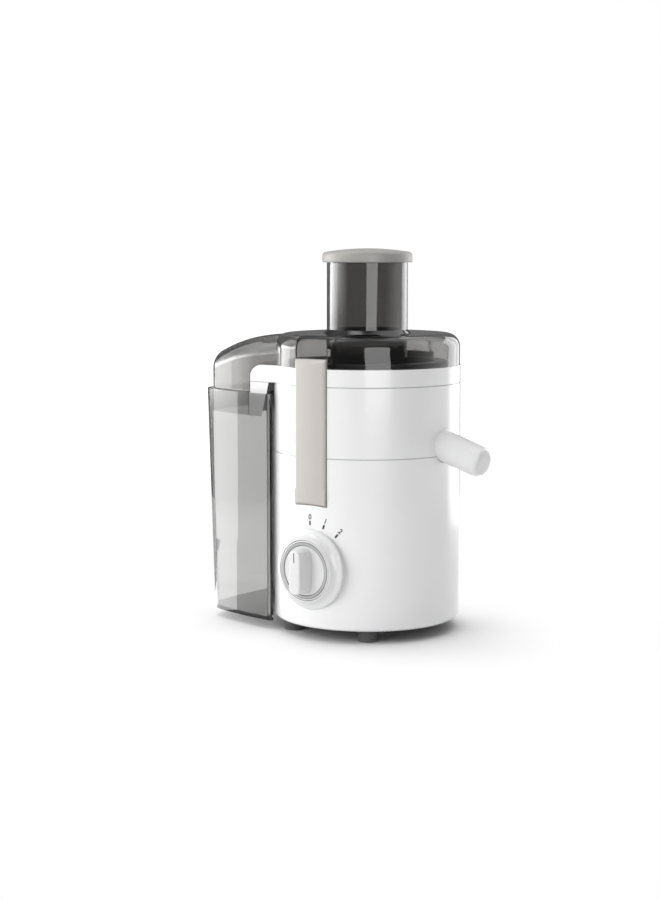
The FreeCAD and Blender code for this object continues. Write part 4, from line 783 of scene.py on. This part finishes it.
class JUICER_OT_pusher(bpy.types.Operator):
    """Turn the pusher's cup and its domed cap"""

    bl_idname = "juicer.pusher"
    bl_label = "Pusher"

    def execute(self, context):
        self.cup()
        self.cap()
        return {"FINISHED"}

    def cup(self):
        radius, low, high = CUP_HIGH.x, CUP_LOW.z, CUP_HIGH.z
        wall, bevel, corner = 2.7 * MM, 0.4 * MM, 0.8 * MM
        bore = radius - wall
        outline = [(0, low), (bore, low), (radius - corner, low + corner), (radius, low + wall),
                   (radius, high - bevel), (radius - bevel, high), (bore + bevel, high),
                   (bore, high - bevel), (bore, low + 2 * wall), (radius - 1.4 * wall, low + 1.2 * wall),
                   (radius - 2 * wall, low + wall), (0, low + wall)]
        piece = lathe("pusher_cup", outline, 160)
        smooth(piece)
        stand_in(piece, "pusher", "pusher_tube")

    def cap(self):
        radius, under, top = CAP_HIGH.x, CUP_HIGH.z, CAP_HIGH.z
        dome = 4 * MM
        ball = (radius ** 2 + dome ** 2) / (2 * dome)
        outline = [(0, top)]
        for share in (0.1, 0.2, 0.35, 0.5, 0.65, 0.8, 0.9, 0.955):
            reach = share * radius
            outline.append((reach, top - ball + math.sqrt(ball ** 2 - reach ** 2)))
        outline += [(0.98 * radius, top - dome - 0.7 * MM), (0.993 * radius, top - dome - 1.6 * MM),
                    (radius, top - dome - 3.2 * MM), (radius, under + 0.8 * MM), (radius - 0.8 * MM, under)]
        plug = CUP_HIGH.x - 3 * MM
        wall = 2.5 * MM
        ceiling = top - dome - wall
        outline += [(plug, under), (plug, under - 0.6 * MM), (plug - 0.4 * MM, under - MM),
                    (plug - wall, under - MM), (plug - wall, ceiling), (0, ceiling)]
        piece = lathe("pusher_cap_dome", outline, 160)
        smooth(piece)
        stand_in(piece, "pusher", "pusher_cap", "cap_grey")


class JUICER_OT_bezel(bpy.types.Operator):
    """Turn the flared bezel round the knob, with a rounded rim over a narrower foot"""

    bl_idname = "juicer.bezel"
    bl_label = "Dial Bezel"

    def execute(self, context):
        rim, face = DIAL_HIGH.x, -DIAL_LOW.y
        mouth, well, hole = rim - 9.5 * MM, rim - 10.5 * MM, 9 * MM
        floor = face - 5 * MM
        outline = [(hole, face - 9 * MM), (hole, floor), (well, floor), (well, face - 0.4 * MM),
                   (well + 0.3 * MM, face), (mouth, face - 0.2 * MM), (mouth + 0.5 * MM, face - 0.9 * MM)]
        start, crest = outline[-1]
        flare, fall = rim - 3.4 * MM, face - 6.6 * MM
        for step in range(1, 9):
            share = step / 8
            drop = 1 - (1 - share) ** 1.7
            outline.append((start + (flare - start) * share, crest - (crest - fall) * drop))
        edge = 2.2 * MM
        for step in range(1, 8):
            angle = math.radians(15 + 12.5 * step)
            outline.append((rim - 0.6 * MM - edge + edge * math.sin(angle),
                            fall - 0.7 * MM - edge + edge * math.cos(angle)))
        foot, depth = rim - 3 * MM, BODY_RADIUS - 14 * MM
        outline += [(rim - 0.8 * MM, fall - 4.2 * MM), (foot, fall - 5.4 * MM), (foot, depth),
                    (hole, depth)]
        piece = lathe("dial_cone", outline + [outline[0]], 160)
        put_at(piece, DIAL_CENTRE, FRONT_TURN)
        cut_away(piece, drum("bezel_seat", BODY_RADIUS - 0.3 * MM, 0, 160 * MM, 256))
        smooth(piece)
        stand_in(piece, "base", "dial_bezel", "plain_white")
        return {"FINISHED"}


class JUICER_OT_knob(bpy.types.Operator):
    """Model the dished knob with its grip bar, pointer line and ridged ring"""

    bl_idname = "juicer.knob"
    bl_label = "Knob"

    def execute(self, context):
        self.knob()
        self.pointer()
        self.ring()
        return {"FINISHED"}

    def knob(self):
        floor = -RING_HIGH.y
        face = floor + 1.2 * MM
        back = face - 4.5 * MM
        hub = -KNOB_HIGH.y
        radius, stem, bore = 29.1 * MM, 7 * MM, 3 * MM
        socket = hub + 10 * MM
        outer, inner = RING_HIGH.x, RING_INNER
        outline = [(0, socket), (bore, socket), (bore, hub), (stem - 0.4 * MM, hub), (stem, hub + 0.4 * MM),
                   (stem, back), (radius, back), (radius, face - MM), (radius - 0.3 * MM, face - 0.3 * MM),
                   (radius - MM, face), (outer, face), (outer, floor), (inner, floor),
                   (inner, face - 0.2 * MM), (inner - 0.4 * MM, face)]
        dish = 1.9 * MM
        for share in (0.85, 0.7, 0.55, 0.4, 0.2, 0):
            outline.append((inner * share, face - dish * (1 - share ** 2)))
        piece = lathe("knob_disc", outline, 144)
        put_at(piece, DIAL_CENTRE, FRONT_TURN)
        smooth(piece)
        join_to(piece, self.grip(face))
        piece.name = "knob_with_grip"
        stand_in(piece, "knob", "speed_knob", "plain_white")

    def grip(self, face):
        front = KNOB_LOW.y + 0.05 * MM
        half, reach = 6.6 * MM, 21 * MM
        piece = box_piece("grip_bar", (-half, front, DIAL_CENTRE.z - reach),
                          (half, -face + 2.4 * MM, DIAL_CENTRE.z + reach))
        choose(piece, "faces", lambda side: side.normal.y > 0.5)
        flare = (1.18, 1, 1.02)
        bpy.ops.transform.resize(value=flare, center_override=(0, 0, DIAL_CENTRE.z))
        bpy.ops.object.mode_set(mode="OBJECT")
        corner, brow = 5.4 * MM, 1.4 * MM
        bevel_edges(piece, lambda edge: run_of(edge).y > MM, corner, 8)
        bevel_edges(piece, lambda edge: all(vert.co.y < front + 0.1 * MM for vert in edge.verts), brow, 4)
        smooth(piece)
        return piece

    def pointer(self):
        front = KNOB_LOW.y
        low = DIAL_CENTRE.z + 9.5 * MM
        half, length = 0.5 * MM, 9.6 * MM
        piece = box_piece("knob_pointer", (-half, front + 0.01 * MM, low),
                          (half, front + half, low + length))
        bevel_edges(piece, lambda edge: run_of(edge).y > 0.2 * MM, 0.4 * MM, 3)
        smooth(piece)
        settle(piece, "knob", bpy.data.materials["printed_ink"], SLOT_OF["speed_knob"])

    def ring(self):
        outer, inner = RING_HIGH.x, RING_INNER
        low, high = -RING_HIGH.y, -RING_LOW.y
        ridge, bevel, drop = 0.25 * MM, 0.3 * MM, 0.5 * MM
        count = 150
        outline = [(inner, low), (outer, low), (outer, high - drop), (outer - bevel, high - ridge),
                   (inner + bevel, high - ridge), (inner, high - drop), (inner, low)]
        piece = lathe("knob_ring_ridged", outline, 2 * count)
        step = math.pi / count
        choose(piece, "faces", lambda face: face.normal.z > 0.9 and math.floor(
            math.atan2(*face.calc_center_median().yx) / step) % 2 == 0)
        bpy.ops.mesh.extrude_region_move(TRANSFORM_OT_translate={"value": (0, 0, ridge)})
        bpy.ops.object.mode_set(mode="OBJECT")
        put_at(piece, DIAL_CENTRE, FRONT_TURN)
        smooth(piece)
        stand_in(piece, "knob", "knob_ring")


class JUICER_OT_dial_marks(bpy.types.Operator):
    """Print the digits and ticks on the wall above the dial"""

    bl_idname = "juicer.dial_marks"
    bl_label = "Dial Marks"

    def execute(self, context):
        sizes = context.scene.juicer_sizes
        for index in range(3):
            self.tick(index, sizes)
            self.digit(index, sizes)
        return {"FINISHED"}

    def tick(self, index, sizes):
        half, reach = 0.95 * MM, 2.2 * MM
        piece = box_piece(f"dial_tick_{index}", (-half, -sizes.mark_proud, -reach), (half, 0.1 * MM, reach))
        bevel_edges(piece, lambda edge: run_of(edge).y > 0.05 * MM, 0.3 * MM, 3)
        lay_on_wall(piece, index * sizes.mark_step, sizes.mark_radius)
        settle(piece, "base", bpy.data.materials["printed_ink"], "white_plastic")

    def digit(self, index, sizes):
        clear_selection()
        bpy.ops.object.text_add(location=(0, 0, 0))
        text = bpy.context.object
        text.data.body = str(index)
        text.data.size = sizes.digit_size
        text.data.align_x = "CENTER"
        text.data.align_y = "CENTER"
        text.data.extrude = sizes.mark_proud
        text.data.offset = 0.14 * MM
        bpy.ops.object.convert(target="MESH")
        piece = bpy.context.object
        piece.name = f"dial_digit_{index}"
        put_at(piece, (0, 0, 0), FRONT_TURN)
        lay_on_wall(piece, index * sizes.mark_step, sizes.digit_radius)
        tidy_mesh(piece)
        settle(piece, "base", bpy.data.materials["printed_ink"], "white_plastic")


class JUICER_OT_spout(bpy.types.Operator):
    """Turn the sloping spout, seat it on the wall and open its outlet"""

    bl_idname = "juicer.spout"
    bl_label = "Juice Spout"

    def execute(self, context):
        sizes = context.scene.juicer_sizes
        length, start = sizes.spout_length, -7 * MM
        root, tip = sizes.spout_root, sizes.spout_tip
        bend = 4.5 * MM
        skin = [(root - (root - tip) * start / length, start)]
        for step in range(9):
            angle = math.radians(11.25 * step)
            skin.append((tip - bend + bend * math.cos(angle), length - bend + bend * math.sin(angle)))
        skin[-1] = (tip - bend, length)
        skin.append((0, length))
        bore = tip - 2 * MM
        room = [(0, length - 2 * MM), (bore - 2 * MM, length - 2.4 * MM),
                (bore - 0.6 * MM, length - 4.5 * MM), (10.5 * MM, start)]
        piece = lathe("juice_spout_tube", skin, 128)
        hollow = lathe("spout_room", room, 96)
        self.close(piece)
        self.close(hollow)
        axis = Matrix.Translation((BODY_RADIUS, 0, sizes.spout_height)) @ Matrix.Rotation(
            math.pi / 2 + sizes.spout_slope, 4, "Y")
        set_matrix(piece, axis)
        set_matrix(hollow, axis)
        cut_away(piece, drum("spout_seat", BODY_RADIUS - 1.2 * MM, 100 * MM, 300 * MM, 192))
        spigot = drum("spout_spigot", 12.5 * MM, start, -start, 96)
        set_matrix(spigot, axis)
        cut_away(piece, spigot, "UNION")
        cut_away(piece, hollow)
        tidy_mesh(piece, 5 * MERGE_GAP)
        cut_away(piece, self.outlet(sizes))
        tidy_mesh(piece, 5 * MERGE_GAP)
        smooth(piece, 36)
        stand_in(piece, "base", "juice_spout", "plain_white")
        return {"FINISHED"}

    def close(self, piece):
        """Close an open ring with one face."""
        choose(piece, "edges", lambda edge: edge.is_boundary)
        bpy.ops.mesh.edge_face_add()
        tidy_mesh(piece)

    def outlet(self, sizes):
        along, half_length, half_width, depth = 33 * MM, 10.5 * MM, 6 * MM, 30 * MM
        reach = BODY_RADIUS + along * math.cos(sizes.spout_slope)
        middle = sizes.spout_height - along * math.sin(sizes.spout_slope)
        piece = box_piece("spout_outlet", (reach - half_length, -half_width, middle - depth),
                          (reach + half_length, half_width, middle))
        bevel_edges(piece, lambda edge: run_of(edge).z > MM, 5.9 * MM, 10)
        return piece


class JUICER_OT_feet(bpy.types.Operator):
    """Turn one ribbed rubber foot and copy it to the four corners"""

    bl_idname = "juicer.feet"
    bl_label = "Rubber Feet"

    def execute(self, context):
        radius = 10 * MM
        spot = Vector((FEET_HIGH.x - radius, FEET_HIGH.y - radius, 0))
        outline = [(0, 1.4 * MM), (5.4 * MM, 1.4 * MM), (6.2 * MM, 0.5 * MM), (6.6 * MM, 0), (8.6 * MM, 0),
                   (9.6 * MM, 0.4 * MM), (radius, 1.4 * MM)]
        for ring in range(3):
            level = (3 + 2.4 * ring) * MM
            groove = radius - 0.5 * MM
            outline += [(radius, level), (groove, level + 0.4 * MM), (groove, level + 0.8 * MM),
                        (radius, level + 1.2 * MM)]
        shoulder, peg = 12 * MM, 3.5 * MM
        outline += [(radius, shoulder - 0.7 * MM), (radius - 0.7 * MM, shoulder), (peg, shoulder),
                    (peg, FEET_HIGH.z), (0, FEET_HIGH.z)]
        first = lathe("rubber_foot_0", outline, 72)
        smooth(first, 40)
        for foot, (x_side, y_side) in at_corners(first, "rubber_foot"):
            put_at(foot, (x_side * spot.x, y_side * spot.y, 0))
            stand_in(foot, "base", "rubber_feet")
        return {"FINISHED"}


class JUICER_OT_cover_screws(bpy.types.Operator):
    """Model one pan-head screw with a cross recess and copy it to the four bosses"""

    bl_idname = "juicer.cover_screws"
    bl_label = "Cover Screws"

    def execute(self, context):
        head, shank = 3.4 * MM, 1.75 * MM
        low, high = SCREW_LOW.z, SCREW_HIGH.z
        under = low + 2.5 * MM
        reach = SCREW_HIGH.x - head
        outline = [(0, low), (1.6 * MM, low), (2.6 * MM, low + 0.3 * MM), (3.1 * MM, low + 0.9 * MM),
                   (head, low + 1.7 * MM), (head, under), (shank, under), (shank, high - 1.5 * MM),
                   (0.6 * MM, high), (0, high)]
        first = lathe("cover_screw_0", outline, 48)
        long_side, short_side, depth = 2 * MM, 0.45 * MM, 1.3 * MM
        for length, width in ((long_side, short_side), (short_side, long_side)):
            slot = box_piece("screw_recess", (-length, -width, low - MM), (length, width, low + depth))
            cut_away(first, slot)
        smooth(first, 36)
        for screw, (x_side, y_side) in at_corners(first, "cover_screw"):
            turn = 0.4 * x_side + 0.9 * y_side
            put_at(screw, (x_side * reach, y_side * reach, 0), (0, 0, turn))
            stand_in(screw, "base", "cover_screws", "blackened_steel")
        return {"FINISHED"}


class JUICER_OT_gland(bpy.types.Operator):
    """Turn the ribbed cord gland in the back wall"""

    bl_idname = "juicer.gland"
    bl_label = "Cord Gland"

    def execute(self, context):
        bore, bush, flange = 3.6 * MM, 6 * MM, 9 * MM
        inside, outside = GLAND_LOW.y, GLAND_HIGH.y
        wall = BODY_RADIUS - 0.6 * MM
        groove = outside - 0.6 * MM
        outline = [(bore, inside), (bush - 0.5 * MM, inside), (bush, inside + 0.5 * MM), (bush, wall),
                   (flange, wall), (flange, outside - 0.9 * MM), (flange - 0.7 * MM, outside - 0.2 * MM),
                   (7.4 * MM, outside), (7.0 * MM, groove), (5.6 * MM, groove), (5.2 * MM, outside),
                   (bore + 0.4 * MM, outside), (bore, outside - 0.4 * MM), (bore, inside)]
        piece = lathe("cord_gland_ring", outline, 72)
        put_at(piece, (0, 0, (GLAND_LOW.z + GLAND_HIGH.z) / 2), BACK_TURN)
        smooth(piece, 36)
        stand_in(piece, "base", "cord_gland")
        return {"FINISHED"}


class JUICER_OT_stage(bpy.types.Operator):
    """Set up the pale floor, the softboxes, the world and the camera"""

    bl_idname = "juicer.stage"
    bl_label = "Studio"

    def execute(self, context):
        studio = context.scene.juicer_studio
        context.scene.view_settings.view_transform = "Standard"
        self.floor()
        self.world(context.scene, studio)
        self.softbox("fill_softbox", -15, 1.8, 0.9, (1.6, 1.6), studio.fill_power)
        self.card(self.softbox("strip_softbox", 48.5, 1.7, 0.62, (0.92, 1.1), studio.strip_power))
        self.left_cards(studio.card_power)
        self.card(self.softbox("right_card", 170, 0.70, 0.32, (0.50, 0.68), studio.card_power))
        self.area("top_softbox", Vector((-0.1, 0.1, 1.7)), Vector(), (1.8, 1.8), studio.top_power)
        self.camera(context.scene, studio)
        return {"FINISHED"}

    def left_cards(self, power):
        """An upright card, one on the floor between it and the pulp bin, and a taller one above."""
        stand, facing = Vector((-0.5529, -0.2196, 0.102)), Vector((0.891, 0.454, 0))
        self.card(self.area("left_card", stand, stand + facing, (0.158, 0.194), 0.139 * power))
        spot, turn = Vector((-0.3564, -0.1368, 0.005)), math.radians(27)
        low = self.area("left_card_low", spot, Vector(), (0.425, 0.11), 0.212 * power)
        low.rotation_euler = (math.pi, 0, turn)
        self.card(low)
        self.card(self.softbox("left_card_high", -78.8, 0.576, 0.4295, (0.23, 0.461), 0.25 * power))

    def floor(self):
        """A pale disc that shows the juicer's shadow near it and plain white further out."""
        radius, shadow_start, shadow_end = 0.95, 0.112, 0.30
        clear_selection()
        bpy.ops.mesh.primitive_circle_add(vertices=128, radius=radius, fill_type="NGON", location=(0, 0, 0))
        floor = bpy.context.object
        floor.name = "floor"
        tree, shader = new_finish("pale_floor")
        feed(tree, shader, Base_Color=(0.88, 0.88, 0.88, 1), Roughness=0.8, Specular_IOR_Level=0.1)
        away = put(tree, "VectorMath", {0: object_place(tree)}, operation="LENGTH").outputs["Value"]
        glow = put(tree, "Emission", {"Color": (1, 1, 1, 1), "Strength": 1.0})
        path = put(tree, "LightPath").outputs
        seen = calculate(tree, "MAXIMUM", path["Is Camera Ray"], path["Is Transmission Ray"])
        seen = calculate(tree, "MAXIMUM", seen, path["Is Glossy Ray"])
        share = calculate(tree, "MULTIPLY", seen, ramp(tree, away, shadow_start, shadow_end, 0.0, 1.0))
        show(tree, share, shader, glow)
        floor.data.materials.append(bpy.data.materials["pale_floor"])

    def world(self, scene, studio):
        """A soft room: bright to the left and behind, dim in front, white where the camera looks."""
        world = bpy.data.worlds.new("studio")
        scene.world = world
        world.use_nodes = True
        tree = world.node_tree
        light = tree.nodes["Background"]
        part = put(tree, "SeparateXYZ", {0: put(tree, "TexCoord").outputs["Generated"]}).outputs
        turn = calculate(tree, "ARCTAN2", part["X"], calculate(tree, "MULTIPLY", part["Y"], -1.0))
        path = put(tree, "LightPath").outputs
        lit = self.room(tree, part, turn, studio)
        mirrored = self.mirror_room(tree, part, turn, studio)
        away = self.away(tree, part, studio)
        behind = ramp(tree, away, 0.55, 0.93, 0.05, 1.0)
        met = put(tree, "Mix", {0: path["Is Glossy Ray"], 2: lit, 3: mirrored}).outputs[0]
        through = put(tree, "Mix", {0: path["Is Transmission Ray"], 2: met, 3: behind}).outputs[0]
        strength = calculate(tree, "MAXIMUM", through, path["Is Camera Ray"])
        tree.links.new(strength, light.inputs["Strength"])
        light.inputs["Color"].default_value = (1, 1, 1, 1)

    def room(self, tree, part, turn, studio):
        """The room as it lights matt surfaces."""
        back_level = 0.95
        left = sweep(tree, turn, -20, -82, 0.0, studio.left_level)
        past_left = sweep(tree, turn, -118, -150, 0.0, back_level - studio.left_level)
        right = sweep(tree, turn, 118, 160, 0.0, back_level)
        round_room = calculate(tree, "ADD", calculate(tree, "ADD", left, past_left), right)
        above = ramp(tree, part["Z"], 0.55, 0.95, 0.0, studio.top_level)
        return calculate(tree, "MAXIMUM", calculate(tree, "MAXIMUM", round_room, above), studio.front_level)

    def mirror_room(self, tree, part, turn, studio):
        """The room as glossy surfaces show it: a glow and a bright strip to the left, a fainter glow
        to the right, a softbox overhead, else dim."""
        start = sweep(tree, turn, -12, -66, 0.0, 1.0)
        stop = sweep(tree, turn, -99, -93, 0.0, 1.0)
        glow = ramp(tree, part["Z"], -0.055, -0.015, studio.mirror_low, studio.mirror_level)
        dim = sweep(tree, turn, -80, -62, 0.06, 0.85)
        fade = ramp(tree, part["Z"], 0.22, 0.05, dim, 1.0)
        soft = calculate(tree, "MULTIPLY", calculate(tree, "MULTIPLY", start, glow), fade)
        edge = sweep(tree, turn, -52, -66, 0.0, studio.mirror_strip)
        band = calculate(tree, "MULTIPLY", ramp(tree, part["Z"], 0.16, 0.05, 0.0, 1.0),
                         ramp(tree, part["Z"], -0.10, -0.075, 0.0, 1.0))
        strip = calculate(tree, "MULTIPLY", edge, band)
        wall = calculate(tree, "MULTIPLY", calculate(tree, "ADD", soft, strip), stop)
        right = sweep(tree, turn, 75, 140, 0.0, studio.mirror_right)
        above = ramp(tree, part["Z"], 0.45, 0.75, studio.mirror_front, studio.mirror_top)
        return calculate(tree, "MAXIMUM", calculate(tree, "ADD", wall, right), above)

    def away(self, tree, part, studio):
        """How far a direction points away from the camera, from -1 to 1."""
        return calculate(tree, "MULTIPLY_ADD", part["X"], -math.sin(studio.azimuth),
                         calculate(tree, "MULTIPLY", part["Y"], math.cos(studio.azimuth)))

    def softbox(self, name, azimuth, distance, height, size, power):
        angle = math.radians(azimuth)
        spot = Vector((distance * math.sin(angle), -distance * math.cos(angle), height))
        return self.area(name, spot, Vector((0, 0, height)), size, power)

    def area(self, name, spot, target, size, power):
        """A softbox that lights surfaces without showing in the glossy ones."""
        data = bpy.data.lights.new(name, "AREA")
        data.shape = "RECTANGLE"
        data.size, data.size_y = size
        data.energy = power
        lamp = bpy.data.objects.new(name, data)
        lamp.location = spot
        lamp.rotation_euler = (target - spot).to_track_quat("-Z", "Y").to_euler()
        lamp.visible_glossy = False
        lamp.visible_transmission = False
        bpy.context.scene.collection.objects.link(lamp)
        return lamp

    def card(self, lamp):
        """Leave a softbox to the glossy surfaces alone."""
        lamp.visible_glossy = True
        lamp.visible_diffuse = False
        lamp.visible_camera = False

    def camera(self, scene, studio):
        back = Vector((math.sin(studio.azimuth), -math.cos(studio.azimuth), 0))
        right = Vector((math.cos(studio.azimuth), math.sin(studio.azimuth), 0))
        level = -math.cos(studio.pan) * back - math.sin(studio.pan) * right
        ahead = math.cos(studio.tilt) * level - Vector((0, 0, math.sin(studio.tilt)))
        data = bpy.data.cameras.new("camera")
        data.lens = studio.lens
        data.sensor_width = 36
        data.dof.use_dof = False
        camera = bpy.data.objects.new("camera", data)
        camera.location = studio.distance * back + Vector((0, 0, studio.height))
        camera.rotation_euler = ahead.to_track_quat("-Z", "Y").to_euler()
        scene.collection.objects.link(camera)
        scene.camera = camera


STEPS = (
    JUICER_OT_finishes, JUICER_OT_shells, JUICER_OT_pusher, JUICER_OT_bezel, JUICER_OT_knob,
    JUICER_OT_dial_marks, JUICER_OT_spout, JUICER_OT_feet, JUICER_OT_cover_screws, JUICER_OT_gland,
    JUICER_OT_stage,
)


class VIEW3D_PT_juicer(bpy.types.Panel):
    """The juicer's sizes, colours and pieces"""

    bl_label = "Juicer"
    bl_space_type = "VIEW_3D"
    bl_region_type = "UI"
    bl_category = "Juicer"

    def draw(self, context):
        scene = context.scene
        for settings in (scene.juicer_sizes, scene.juicer_finishes, scene.juicer_studio):
            box = self.layout.box()
            for name in settings.__annotations__:
                box.prop(settings, name)
        column = self.layout.column(align=True)
        for step in STEPS:
            column.operator(step.bl_idname)


CLASSES = (JuicerSizes, JuicerFinishes, JuicerStudio, *STEPS, VIEW3D_PT_juicer)


def register():
    for item in CLASSES:
        bpy.utils.register_class(item)
    bpy.types.Scene.juicer_sizes = PointerProperty(type=JuicerSizes)
    bpy.types.Scene.juicer_finishes = PointerProperty(type=JuicerFinishes)
    bpy.types.Scene.juicer_studio = PointerProperty(type=JuicerStudio)


def unregister():
    del bpy.types.Scene.juicer_studio
    del bpy.types.Scene.juicer_finishes
    del bpy.types.Scene.juicer_sizes
    for item in reversed(CLASSES):
        bpy.utils.unregister_class(item)


def main():
    register()
    bpy.ops.juicer.finishes()
    bpy.ops.juicer.shells()
    bpy.ops.juicer.pusher()
    bpy.ops.juicer.bezel()
    bpy.ops.juicer.knob()
    bpy.ops.juicer.dial_marks()
    bpy.ops.juicer.spout()
    bpy.ops.juicer.feet()
    bpy.ops.juicer.cover_screws()
    bpy.ops.juicer.gland()
    bpy.ops.juicer.stage()
    clear_selection()


if __name__ == "__main__":
    main()
